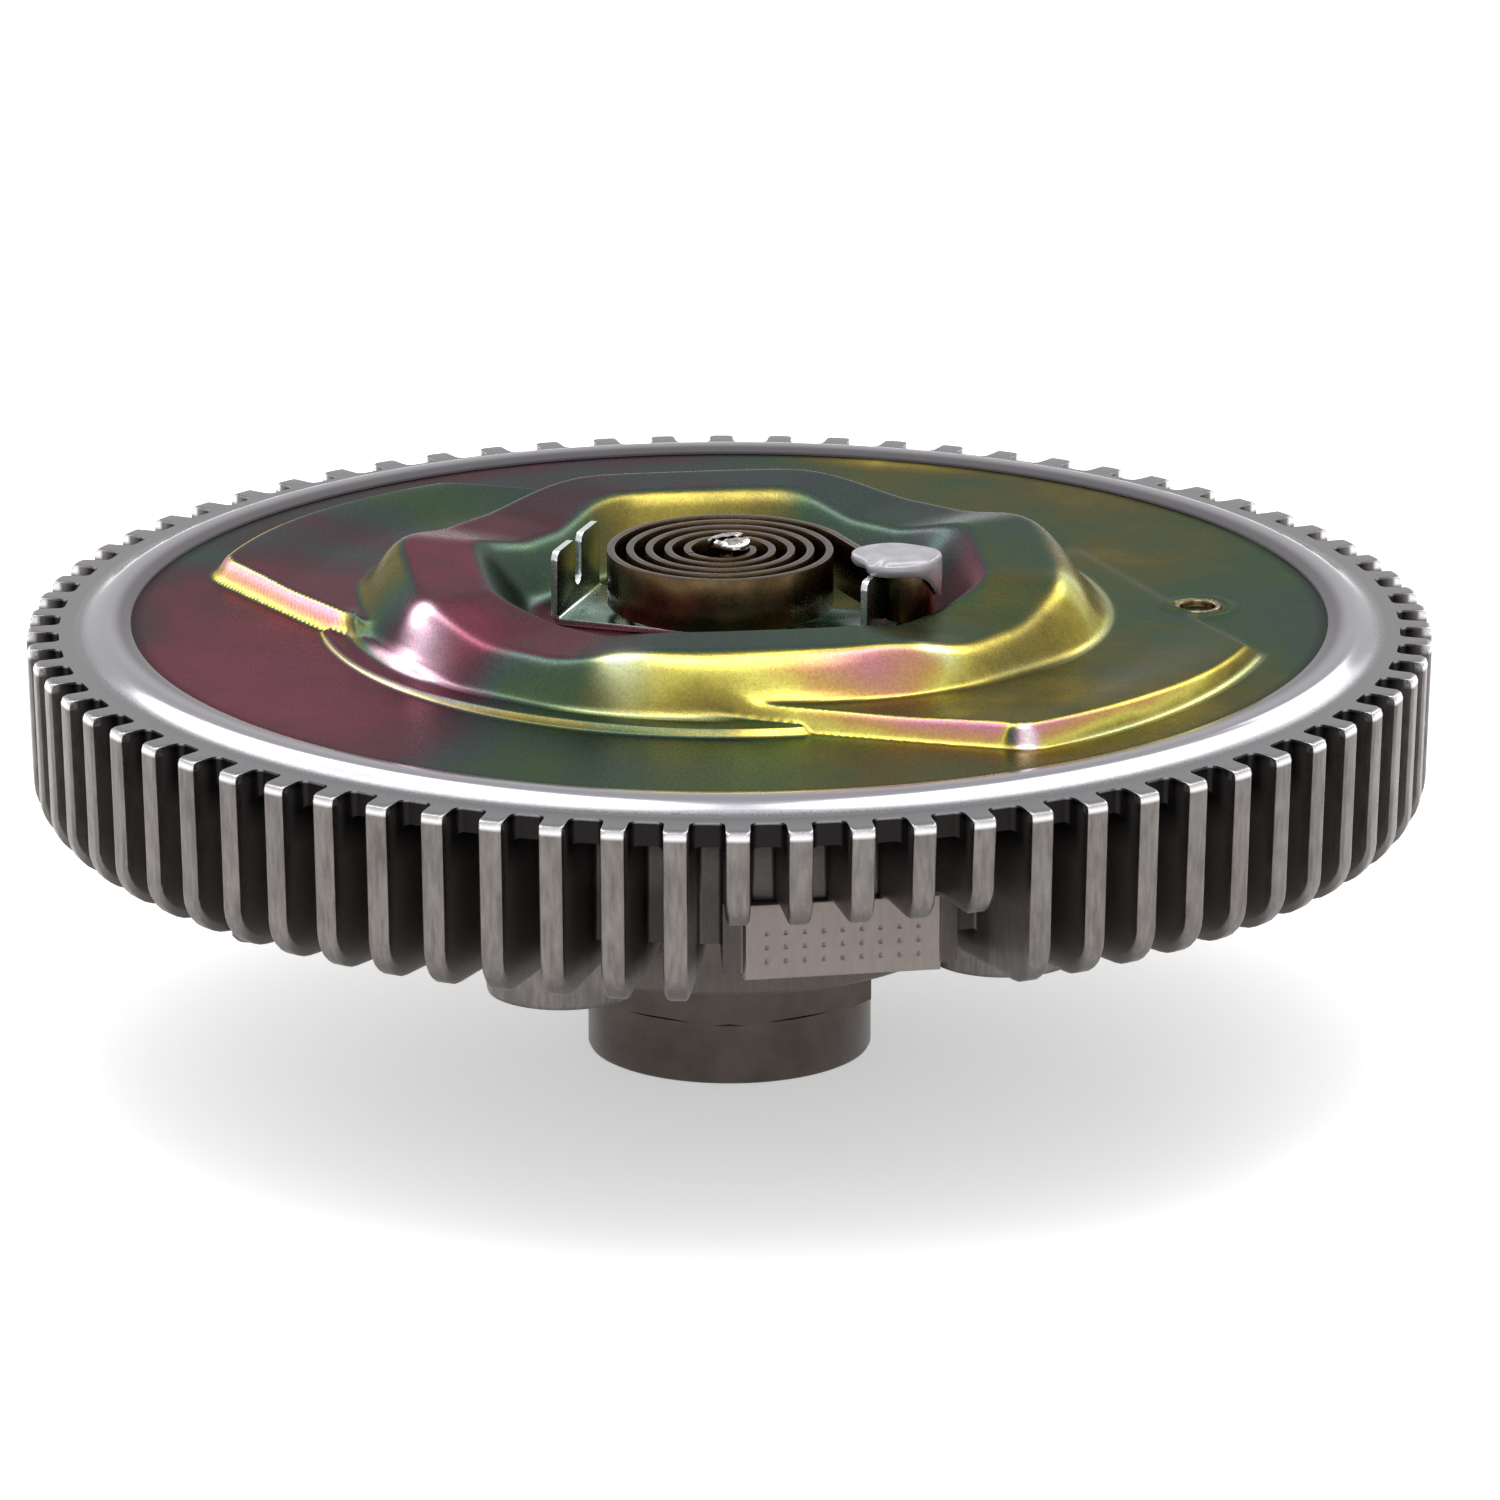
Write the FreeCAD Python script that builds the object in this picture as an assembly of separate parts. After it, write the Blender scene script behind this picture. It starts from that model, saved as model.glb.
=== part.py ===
import FreeCAD, Part
import math
import os
from FreeCAD import Vector

# Viscous fan clutch: finned die-cast housing on a bearing on a screw-on steel hub, closed by a
# stamped cover with an octagonal reservoir dome, whose bimetal coil turns a valve shaft.
# Millimetres, +Z up, origin at the centre of the hub's end face, which the part stands on.
# Angles are degrees about Z, measured from +X towards +Y.

# Hub
COLLAR_R = 20.0
COLLAR_H = 9.3
HEX_FLATS = 40.0
HEX_TOP = 16.4
HEX_CORNER_ANGLE = 270.0
HEX_CHAMFER = 1.2
COLLAR_EDGE = 0.6
THREAD_CORE_R = 14.19
DRILL_DEPTH = 13.0
DRILL_CONE_H = 2.5
THREAD_LEAD_IN = 1.2
SHOULDER_R = 15.5
JOURNAL_R = 12.5
ROTOR_SEAT_R = 11.0
SHAFT_EDGE = 0.8

# Bearing, single row, sealed
BEARING_Z = 20.0
BEARING_W = 15.0
BEARING_R = 26.0
BALL_PITCH_R = 19.0
BALL_R = 3.97
BALL_COUNT = 9
LAND_INSET = 1.17
BALL_RUNNING_GAP = 0.1
CAGE_WALL = 2.0
CAGE_HALF_H = 4.9
SEAL_T = 0.9
SEAL_INSET = 0.3
SEAL_GROOVE = 0.6
SEAL_LIP_GAP = 0.3
PRESS_GAP = 0.03

# Retaining ring under the bearing
RING_T = 1.3
RING_GROOVE_DEPTH = 1.2
RING_INNER_R = 23.9
RING_GAP_ANGLE = 30.0

# Housing
OUTER_R = 99.0
TOP_Z = 61.5
FIN_COUNT = 72
FIN_PHASE = 0.75
FIN_TIP_W = 3.3
FIN_ROOT_W = 3.9
FIN_TIP_TAPER = 0.7
FIN_TOP_EDGE = 1.0
FIN_BOTTOM_Z = 35.6
FIN_CORNER_R = 6.0
FIN_REAR_RUN = 17.0
FIN_REAR_STEP = 7.5
REAR_SLOT_STEP = 0.5
RIM_DEPTH = 4.6
RIM_T = 3.5
FIN_DEPTH = 16.5
REAR_WALL_Z = 40.0
REAR_WALL_T = 4.0
CHAMBER_WALL = 5.7
PILOT_R = 32.0
PILOT_Z = 17.0
PILOT_EDGE = 0.5
PILOT_ROOT_R = 33.5
BEARING_LEDGE_R = 22.8
BEARING_LEDGE_T = 1.6

# Short fins over the flat code pad
SHORT_FIN_FIRST = 54
SHORT_FIN_COUNT = 5
SHORT_FIN_Z = 47.4
RELIEF_STEP = 0.4
RELIEF_SIDE = 0.15
PAD_STEP = 1.3
PAD_W = 27.4
PAD_BOTTOM_Z = 36.4
PAD_TOP_Z = 46.8
PAD_DEPTH = 5.0

# Fan bosses
BOSS_COUNT = 4
BOSS_PHASE = 58.7
FAN_PITCH_R = 45.0
BOSS_R = 10.5
BOSS_ROOT_R = 11.3
BOSS_Z = 20.0
FAN_HOLE_R = 3.4
FAN_HOLE_DEPTH = 17.0
BOSS_WEB_W = 8.0

# Casting nub at the rear
NUB_ANGLE = 222.5
NUB_INSET = 9.0
NUB_R = 2.3
NUB_H = 1.2

# Crimped lip
LIP_STEP = 2.9
LIP_RISE_RUN = 3.5
LIP_CREST_H = 1.9
LIP_W = 7.3
LIP_INNER_H = 1.5
LIP_EDGE = 0.35

# Front cover sheet
COVER_TOP = 62.6
COVER_T = 1.5
COVER_UNDER_LIP = 4.3
COVER_FIT = 0.1
DOME_SIDES = 8
DOME_PHASE = 7.0
DOME_FOOT_R = 52.5
DOME_CREST_R = 47.3
DOME_H = 8.9
DOME_ROUND_FOOT_R = 54.0
DOME_ROUND_CREST_R = 50.6
SADDLE_DROP = 2.0
SADDLE_SLOPE = 4.0
WELL_CREST_R = 34.4
WELL_FLOOR_R = 28.0
WELL_FLOOR_Z = 62.0
WALL_ACROSS = 1.7
TERRACE_R = 57.8
TERRACE_H = 1.2
TERRACE_FROM = 187.0
TERRACE_TO = 281.0

# Wedge-shaped return channels
WEDGE_EDGE_ANGLE = 268.0
WEDGE_CORNER_ANGLE = 303.0
WEDGE_ARC_END = 348.0
WEDGE_INSET = 12.0
WEDGE_H = 2.4
WEDGE_DRAFT = 1.3
WEDGE_CREASE_R = 58.5
WEDGE_CREASE_ANGLE = 26.5
WEDGE_CREASE_INSET = 6.5
WEDGE_CREASE_OUT_ANGLE = 357.5
WEDGE_GRADE = 0.048
WEDGE_MIRROR_ANGLE = 234.0

# Filling hole and plug
FILL_INSET = 10.2
FILL_ANGLE = 4.8
FILL_HOLE_R = 2.35
FILL_RIM_R = 3.6
FILL_RIM_T = 0.4
FILL_SOCKET_R = 1.1
FILL_SEAT_GAP = 0.3

# Seal ring under the cover
SEAL_RING_INSET = 4.0
SEAL_RING_W = 2.0
SEAL_RING_H = 1.7

# Pump plate
PLATE_T = 1.2
PLATE_DROP = 2.7
PLATE_FLANGE_GAP = 1.2
PLATE_DISH_RUN = 1.4
PLATE_FIT = 0.1
GATE_R = 3.0
GATE_PITCH_R = 33.0
GATE_ANGLE = 30.0
PUMP_HOLE_R = 2.2
PUMP_HOLE_INSET = 3.1
PUMP_HOLE_ANGLE = 309.0

# Pump wipers and their rivets
WIPER_ROTOR_GAP = 0.6
WIPER_T = 2.0
WIPER_SPAN = 12.0
WIPER_H = 7.0
WIPER_ANGLE = 303.0
RIVET_R = 0.6
RIVET_HEAD_R = 1.0
RIVET_HEAD_H = 0.7
RIVET_DEPTH = 2.0
RIVET_OFFSET = 3.5

# Rotor
ROTOR_GAP = 4.8
ROTOR_TOP_GAP = 1.2
ROTOR_DISC_T = 5.0
ROTOR_BOSS_R = 16.0
ROTOR_BOSS_GAP = 1.2
LAND_COUNT = 4
LAND_PITCH = 8.0
LAND_W = 3.0
LAND_END_GAP = 1.0
ROTOR_HOLE_COUNT = 6
ROTOR_HOLE_R = 2.5
ROTOR_HOLE_PITCH_R = 30.0

# Valve shaft, arm, bush and O-ring
VALVE_R = 3.0
VALVE_FIT = 0.05
VALVE_PROUD = 1.8
VALVE_NECK_R = 2.2
VALVE_NECK_DROP = 0.3
VALVE_SLOT_W = 1.2
VALVE_SLOT_DROP = 0.1
VALVE_TOP_EDGE = 0.5
ARM_T = 1.0
ARM_LIFT = 0.4
ARM_W = 10.0
ARM_REACH = 37.0
ARM_HUB_R = 6.5
ARM_STUD_R = 2.0
ARM_STUD_BELOW = 0.15
BUSH_R = 6.0
BUSH_GAP = 0.4
BUSH_FLANGE_R = 8.0
BUSH_FLANGE_T = 1.1
ORING_SECTION_R = 0.4
ORING_Z = 62.3
ORING_GROOVE_R = 2.2
ORING_GROOVE_H = 1.1

# Coil bracket
BRACKET_ANGLE = 161.0
BRACKET_T = 1.0
LUG_R = 23.0
LUG_W = 18.0
LUG_UNDER_DAB = 0.4
LUG_SLOT_W = 3.0
LUG_SLOT_LIFT = 0.4
LUG_BEND_R = 1.0

# Bimetal coil
COIL_R = 17.25
STRIP_T = 1.1
COIL_PITCH = 2.7
COIL_HALF_TURNS = 10
COIL_LIFT = 3.2
COIL_H = 7.8
HOOK_R = 3.1
HOOK_LEAD = 1.6
HOOK_SWEEP = 250.0
TAB_REACH = 1.9

# Sealant dab over the hook
DAB_R = 6.5
DAB_H = 1.4
DAB_EDGE = 0.5
DAB_OUT = 1.6

# Worked-out sizes
Z_AXIS = Vector(0, 0, 1)
ORIGIN = Vector(0, 0, 0)
FIN_PITCH = 360.0 / FIN_COUNT
RIM_R = OUTER_R - RIM_DEPTH
SLOT_R = OUTER_R - FIN_DEPTH
FIN_REAR_FULL_R = SLOT_R - FIN_REAR_STEP
FIN_REAR_INNER_R = FIN_REAR_FULL_R - FIN_REAR_RUN
CHAMBER_R = SLOT_R - CHAMBER_WALL
PAD_DISTANCE = SLOT_R + PAD_STEP
NUB_PITCH_R = OUTER_R - NUB_INSET
LIP_OUTER_R = RIM_R - LIP_STEP
LIP_CREST_R = LIP_OUTER_R - LIP_RISE_RUN
LIP_INNER_R = LIP_OUTER_R - LIP_W
COVER_R = LIP_INNER_R + COVER_UNDER_LIP
WEDGE_R = COVER_R - WEDGE_INSET
WEDGE_CREASE_OUT_R = WEDGE_R - WEDGE_CREASE_INSET
FILL_R = WEDGE_R - FILL_INSET
SEAL_RING_R = LIP_INNER_R - SEAL_RING_INSET
PLATE_FLANGE_R = SEAL_RING_R - PLATE_FLANGE_GAP
ROTOR_R = CHAMBER_R - ROTOR_GAP
LAND_FIRST_R = ROTOR_R - LAND_PITCH * LAND_COUNT
WIPER_INNER_R = ROTOR_R + WIPER_ROTOR_GAP
WIPER_OUTER_R = WIPER_INNER_R + WIPER_T
PUMP_HOLE_PITCH_R = WIPER_INNER_R - PUMP_HOLE_INSET
BEARING_TOP = BEARING_Z + BEARING_W
INNER_LAND_R = BALL_PITCH_R - BALL_R + LAND_INSET
OUTER_LAND_R = BALL_PITCH_R + BALL_R - LAND_INSET
BALL_Z = BEARING_Z + BEARING_W / 2.0
CHAMBER_Z = REAR_WALL_Z + REAR_WALL_T
COVER_UNDER = COVER_TOP - COVER_T
DOME_TOP = COVER_TOP + DOME_H
FLANGE_Z = COVER_UNDER - PLATE_T
PLATE_TOP = COVER_UNDER - PLATE_DROP
PLATE_Z = PLATE_TOP - PLATE_T
PLATE_FLANGE_IN_R = CHAMBER_R - PLATE_FIT
PLATE_FLAT_R = PLATE_FLANGE_IN_R - PLATE_DISH_RUN
ROTOR_TOP = PLATE_Z - ROTOR_TOP_GAP
ROTOR_DISC_Z = ROTOR_TOP - ROTOR_DISC_T
ARM_Z = PLATE_TOP + ARM_LIFT
ARM_TOP = ARM_Z + ARM_T
BUSH_Z = ARM_TOP + BUSH_GAP
BRACKET_Z = WELL_FLOOR_Z
BRACKET_TOP = BRACKET_Z + BRACKET_T
COIL_BOTTOM = WELL_FLOOR_Z + COIL_LIFT
COIL_TOP = COIL_BOTTOM + COIL_H
LUG_TOP = COIL_TOP - LUG_UNDER_DAB
LUG_SLOT_Z = COIL_BOTTOM + LUG_SLOT_LIFT
VALVE_TOP = COIL_TOP + VALVE_PROUD
VALVE_NECK_Z = COIL_BOTTOM - VALVE_NECK_DROP
VALVE_SLOT_Z = COIL_BOTTOM - VALVE_SLOT_DROP
CODE_PAD_ANGLE = FIN_PHASE + FIN_PITCH * (SHORT_FIN_FIRST + (SHORT_FIN_COUNT - 1) / 2.0)
ARC_CUT = math.cos(math.radians(45.0))


def polar(radius, angle, z=0.0):
    """Point at a radius and an angle in degrees."""
    turn = math.radians(angle)
    return Vector(radius * math.cos(turn), radius * math.sin(turn), z)


def wire_of(path):
    """Closed wire through 3-D points; a step given as (middle, end) is an arc."""
    edges = []
    here = path[0]
    for step in path[1:] + [path[0]]:
        if isinstance(step, tuple):
            edges.append(Part.Arc(here, step[0], step[1]).toShape())
            here = step[1]
        elif here.distanceToPoint(step) > 1e-6:
            edges.append(Part.LineSegment(here, step).toShape())
            here = step
    return Part.Wire(edges)


def turned(profile):
    """Solid of revolution about Z; a profile step of four numbers is an arc (middle, end)."""
    path = []
    for step in profile:
        points = [Vector(step[i], 0, step[i + 1]) for i in range(0, len(step), 2)]
        path.append(points[0] if len(points) == 1 else (points[0], points[1]))
    return Part.Face(wire_of(path)).revolve(ORIGIN, Z_AXIS, 360)


def prism(path, height):
    """Straight solid on a flat outline."""
    return Part.Face(wire_of(path)).extrude(Vector(0, 0, height))


def cylinder(radius, z_from, z_to, centre=ORIGIN):
    """Upright cylinder between two heights."""
    return Part.makeCylinder(radius, z_to - z_from, Vector(centre.x, centre.y, z_from), Z_AXIS)


def cone(radius_low, radius_high, z_from, z_to, centre=ORIGIN):
    """Upright truncated cone between two heights."""
    base = Vector(centre.x, centre.y, z_from)
    if abs(radius_low - radius_high) < 1e-9:
        return Part.makeCylinder(radius_low, z_to - z_from, base, Z_AXIS)
    return Part.makeCone(radius_low, radius_high, z_to - z_from, base, Z_AXIS)


def tube(inner, outer, z_from, z_to):
    """Upright tube between two heights."""
    return turned([(inner, z_from), (outer, z_from), (outer, z_to), (inner, z_to)])


def spun(shape, angle):
    """Copy of a shape, turned about Z."""
    copy = shape.copy()
    copy.rotate(ORIGIN, Z_AXIS, angle)
    return copy


def around(shape, count, phase=0.0):
    """Copies of a shape, evenly spaced about Z."""
    return [spun(shape, phase + 360.0 * i / count) for i in range(count)]


def one_solid(shape):
    """The single solid of a boolean result, with split faces joined again."""
    clean = shape.removeSplitter()
    return clean.Solids[0] if len(clean.Solids) == 1 else clean


def frustum(flat_low, flat_high, z_low, z_high):
    """Drafted octagonal block of the dome, given by its distances across to each flat."""
    reach = 1.0 / math.cos(math.pi / DOME_SIDES)
    wires = []
    for flat, z in ((flat_low, z_low), (flat_high, z_high)):
        corners = []
        for i in range(DOME_SIDES):
            corners.append(polar(flat * reach, DOME_PHASE + 360.0 * (i + 0.5) / DOME_SIDES, z))
        wires.append(Part.makePolygon(corners + corners[:1]))
    return Part.makeLoft(wires, True, True)


def hub_shaft():
    """Collar, hexagon, bearing journal and rotor seat, turned and milled from one bar."""
    top = ROTOR_TOP + SHAFT_EDGE / 2.0
    shaft = turned([
        (0, HEX_TOP / 2.0), (COLLAR_R - COLLAR_EDGE, HEX_TOP / 2.0), (COLLAR_R - COLLAR_EDGE, HEX_TOP),
        (SHOULDER_R, HEX_TOP), (SHOULDER_R, BEARING_Z), (JOURNAL_R, BEARING_Z),
        (JOURNAL_R, BEARING_TOP), (ROTOR_SEAT_R, BEARING_TOP), (ROTOR_SEAT_R, top - SHAFT_EDGE),
        (ROTOR_SEAT_R - SHAFT_EDGE, top), (0, top)])
    collar = turned([
        (0, 0), (COLLAR_R - COLLAR_EDGE, 0), (COLLAR_R, COLLAR_EDGE), (COLLAR_R, COLLAR_H), (0, COLLAR_H)])
    corner_r = HEX_FLATS / 2.0 / math.cos(math.radians(30.0))
    corners = [polar(corner_r, HEX_CORNER_ANGLE + 60.0 * i, COLLAR_H) for i in range(6)]
    hexagon = prism(corners, HEX_TOP - COLLAR_H)
    chamfer_rise = HEX_CHAMFER * math.tan(math.radians(30.0)) * 2.0
    envelope = turned([
        (0, COLLAR_H), (corner_r - HEX_CHAMFER, COLLAR_H), (corner_r + HEX_CHAMFER, COLLAR_H + chamfer_rise),
        (corner_r + HEX_CHAMFER, HEX_TOP - chamfer_rise), (corner_r - HEX_CHAMFER, HEX_TOP), (0, HEX_TOP)])
    bore = turned([
        (0, 0), (THREAD_CORE_R + THREAD_LEAD_IN, 0), (THREAD_CORE_R, THREAD_LEAD_IN),
        (THREAD_CORE_R, DRILL_DEPTH), (0, DRILL_DEPTH + DRILL_CONE_H)])
    return one_solid(shaft.fuse([collar, hexagon.common(envelope)]).cut(bore))


def race_profile(land_r, back_r, groove_side):
    """Section of a race: back, ends and a raceway of the ball's size plus the running gap."""
    groove_r = BALL_R + BALL_RUNNING_GAP
    off = abs(BALL_PITCH_R - land_r)
    half = math.sqrt(groove_r ** 2 - off ** 2)
    deep = BALL_PITCH_R + groove_side * groove_r
    return [
        (back_r, BEARING_Z), (land_r, BEARING_Z), (land_r, BALL_Z - half),
        (deep, BALL_Z, land_r, BALL_Z + half), (land_r, BEARING_TOP), (back_r, BEARING_TOP)]


def bearing_inner_race():
    """Inner race on the hub's journal."""
    return turned(race_profile(INNER_LAND_R, JOURNAL_R + PRESS_GAP, -1.0))


def bearing_outer_race():
    """Outer race with a step at each end for the seals."""
    race = turned(race_profile(OUTER_LAND_R, BEARING_R - PRESS_GAP, 1.0))
    depth = SEAL_INSET + SEAL_T
    step_low = tube(OUTER_LAND_R - 1.0, OUTER_LAND_R + SEAL_GROOVE, BEARING_Z - 1.0, BEARING_Z + depth)
    step_high = tube(OUTER_LAND_R - 1.0, OUTER_LAND_R + SEAL_GROOVE, BEARING_TOP - depth, BEARING_TOP + 1.0)
    return one_solid(race.cut([step_low, step_high]))


def bearing_seal(z_low):
    """Flat seal disc held in a step of the outer race."""
    return tube(INNER_LAND_R + SEAL_LIP_GAP, OUTER_LAND_R + SEAL_GROOVE, z_low, z_low + SEAL_T)


def ball_centres():
    """Places of the balls."""
    return [polar(BALL_PITCH_R, 360.0 * i / BALL_COUNT, BALL_Z) for i in range(BALL_COUNT)]


def bearing_balls():
    """The row of balls."""
    return Part.makeCompound([Part.makeSphere(BALL_R, centre) for centre in ball_centres()])


def bearing_cage():
    """Ring cage with a pocket drilled from the side for each ball."""
    ring = tube(BALL_PITCH_R - CAGE_WALL / 2.0, BALL_PITCH_R + CAGE_WALL / 2.0,
                BALL_Z - CAGE_HALF_H, BALL_Z + CAGE_HALF_H)
    pocket = Part.makeCylinder(BALL_R + BALL_RUNNING_GAP, 2.0 * CAGE_WALL,
                               Vector(BALL_PITCH_R - CAGE_WALL, 0, BALL_Z), Vector(1, 0, 0))
    return one_solid(ring.cut(around(pocket, BALL_COUNT)))


def bearing_retaining_ring():
    """Open ring in its groove under the bearing."""
    outer = BEARING_R + RING_GROOVE_DEPTH - PRESS_GAP
    ring = tube(RING_INNER_R, outer, BEARING_Z - RING_T, BEARING_Z)
    gap = prism([ORIGIN, polar(2 * outer, -RING_GAP_ANGLE / 2.0), polar(2 * outer, RING_GAP_ANGLE / 2.0)],
                2 * BEARING_Z)
    return one_solid(ring.cut(gap))


def housing_blank():
    """Turned envelope of the casting: fins, wall, chamber, bearing seat and crimped lip."""
    tip_low = OUTER_R - FIN_TIP_TAPER
    corner_x = tip_low - FIN_CORNER_R
    corner_z = FIN_BOTTOM_Z + FIN_CORNER_R
    lip_mid_r = LIP_CREST_R + (LIP_OUTER_R - LIP_CREST_R) * ARC_CUT
    lip_mid_z = TOP_Z + LIP_CREST_H * ARC_CUT
    ledge_r = COVER_R + COVER_FIT
    seal_out_r = SEAL_RING_R + SEAL_RING_W
    return turned([
        (BEARING_R, PILOT_Z), (PILOT_R - PILOT_EDGE, PILOT_Z), (PILOT_R, PILOT_Z + PILOT_EDGE),
        (PILOT_R, BOSS_Z + 1.0), (PILOT_ROOT_R, REAR_WALL_Z), (FIN_REAR_INNER_R, REAR_WALL_Z),
        (FIN_REAR_FULL_R, FIN_BOTTOM_Z), (corner_x, FIN_BOTTOM_Z),
        (corner_x + FIN_CORNER_R * ARC_CUT, corner_z - FIN_CORNER_R * ARC_CUT, tip_low, corner_z),
        (OUTER_R, TOP_Z - FIN_TOP_EDGE), (OUTER_R - FIN_TOP_EDGE, TOP_Z), (LIP_OUTER_R, TOP_Z),
        (lip_mid_r, lip_mid_z, LIP_CREST_R, TOP_Z + LIP_CREST_H),
        (LIP_INNER_R + LIP_EDGE, TOP_Z + LIP_INNER_H + LIP_EDGE / 2.0), (LIP_INNER_R, TOP_Z + LIP_INNER_H),
        (LIP_INNER_R, COVER_TOP), (ledge_r, COVER_TOP), (ledge_r, COVER_UNDER), (seal_out_r, COVER_UNDER),
        (seal_out_r, COVER_UNDER - SEAL_RING_H), (SEAL_RING_R, COVER_UNDER - SEAL_RING_H),
        (SEAL_RING_R, COVER_UNDER), (PLATE_FLANGE_R + PLATE_FIT, COVER_UNDER),
        (PLATE_FLANGE_R + PLATE_FIT, FLANGE_Z), (CHAMBER_R, FLANGE_Z), (CHAMBER_R, CHAMBER_Z),
        (ROTOR_BOSS_R + ROTOR_BOSS_GAP, CHAMBER_Z),
        (ROTOR_BOSS_R + ROTOR_BOSS_GAP, BEARING_TOP + BEARING_LEDGE_T),
        (BEARING_LEDGE_R, BEARING_TOP + BEARING_LEDGE_T), (BEARING_LEDGE_R, BEARING_TOP),
        (BEARING_R, BEARING_TOP), (BEARING_R, BEARING_Z), (BEARING_R + RING_GROOVE_DEPTH, BEARING_Z),
        (BEARING_R + RING_GROOVE_DEPTH, BEARING_Z - RING_T), (BEARING_R, BEARING_Z - RING_T)])


def fin_slot(inner_r, z_from, z_to):
    """Gap between two fins, from an inner radius outwards, between two heights."""
    slope = (FIN_ROOT_W - FIN_TIP_W) / 2.0 / (OUTER_R - SLOT_R)
    outer_r = OUTER_R + 3.0
    corners = []
    for side, radii in ((1.0, (inner_r, outer_r)), (-1.0, (outer_r, inner_r))):
        for radius in radii:
            half_w = FIN_TIP_W / 2.0 + slope * (OUTER_R - radius)
            angle = side * (FIN_PITCH / 2.0 - math.degrees(math.asin(half_w / radius)))
            corners.append(polar(radius, angle, z_from))
    return prism(corners, z_to - z_from)


def fin_slots():
    """All gaps between the fins: shallow at the rim, deep below it, and open across the rear."""
    deep_top = TOP_Z - RIM_T
    rim = fin_slot(RIM_R, deep_top - 1.0, TOP_Z + 1.0)
    deep = fin_slot(SLOT_R, FIN_BOTTOM_Z - 1.0, deep_top)
    rear = fin_slot(FIN_REAR_INNER_R + REAR_SLOT_STEP, FIN_BOTTOM_Z - 1.0, REAR_WALL_Z + REAR_SLOT_STEP)
    slot = one_solid(rim.fuse([deep, rear]))
    return around(slot, FIN_COUNT, FIN_PHASE + FIN_PITCH / 2.0)


def short_fin_relief():
    """Space under the short fins, out to the full fins on both sides, with rounded fin ends."""
    inner_r = SLOT_R - RELIEF_STEP
    outer_r = OUTER_R + 3.0
    half_span = FIN_PITCH * (SHORT_FIN_COUNT + 1) / 2.0
    half_span -= math.degrees(math.asin(FIN_ROOT_W / 2.0 / SLOT_R)) + RELIEF_SIDE
    low = FIN_BOTTOM_Z - 1.0
    start = polar(inner_r, -half_span, low)
    outline = [start, polar(outer_r, -half_span, low),
               (polar(outer_r, 0, low), polar(outer_r, half_span, low)),
               polar(inner_r, half_span, low), (polar(inner_r, 0, low), start)]
    return spun(prism(outline, SHORT_FIN_Z - low), CODE_PAD_ANGLE)


def code_pad():
    """Flat pad below the short fins."""
    pad = Part.makeBox(PAD_DEPTH, PAD_W, PAD_TOP_Z - PAD_BOTTOM_Z,
                       Vector(PAD_DISTANCE - PAD_DEPTH, -PAD_W / 2.0, PAD_BOTTOM_Z))
    return spun(pad, CODE_PAD_ANGLE)


def fan_boss():
    """One fan boss on the +X side, with the web that joins it to the pilot."""
    centre = Vector(FAN_PITCH_R, 0, 0)
    boss = cone(BOSS_R, BOSS_ROOT_R, BOSS_Z, CHAMBER_Z - REAR_WALL_T / 2.0, centre)
    web = Part.makeBox(FAN_PITCH_R - PILOT_R + 1.0, BOSS_WEB_W, REAR_WALL_Z - BOSS_Z - 1.0,
                       Vector(PILOT_R - 1.0, -BOSS_WEB_W / 2.0, BOSS_Z + 2.0))
    return one_solid(boss.fuse(web))


def housing_lands():
    """Concentric lands on the chamber floor, between those of the rotor."""
    lands = []
    for i in range(LAND_COUNT):
        middle = LAND_FIRST_R + LAND_PITCH * (i + 0.5)
        lands.append(tube(middle - LAND_W / 2.0, middle + LAND_W / 2.0,
                          CHAMBER_Z - 1.0, ROTOR_DISC_Z - LAND_END_GAP))
    return lands


def housing():
    """Die-cast finned housing."""
    body = housing_blank().cut(fin_slots()).cut(short_fin_relief())
    nub = cylinder(NUB_R, FIN_BOTTOM_Z - NUB_H, FIN_BOTTOM_Z + 1.0, polar(NUB_PITCH_R, NUB_ANGLE))
    body = body.fuse([code_pad(), nub] + around(fan_boss(), BOSS_COUNT, BOSS_PHASE) + housing_lands())
    hole = cylinder(FAN_HOLE_R, BOSS_Z - 1.0, BOSS_Z + FAN_HOLE_DEPTH, Vector(FAN_PITCH_R, 0, 0))
    return one_solid(body.cut(around(hole, BOSS_COUNT, BOSS_PHASE)))


def saddle_cut(drop):
    """Drafted cut that lowers the crest of one side of the dome."""
    half_angle = math.pi / DOME_SIDES
    wires = []
    for radius in (WELL_CREST_R - 8.0, DOME_FOOT_R + 6.0):
        half = radius * math.tan(half_angle)
        low = DOME_TOP - drop - SADDLE_DROP
        high = DOME_TOP + 1.0
        rise = (high - low) * SADDLE_SLOPE / SADDLE_DROP
        section = [Vector(radius, -half + SADDLE_SLOPE, low), Vector(radius, half - SADDLE_SLOPE, low),
                   Vector(radius, half - SADDLE_SLOPE + rise, high),
                   Vector(radius, -half + SADDLE_SLOPE - rise, high)]
        wires.append(Part.makePolygon(section + section[:1]))
    cutter = Part.makeLoft(wires, True, True)
    return around(cutter, DOME_SIDES // 2, DOME_PHASE + 180.0 / (DOME_SIDES // 2))


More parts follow.
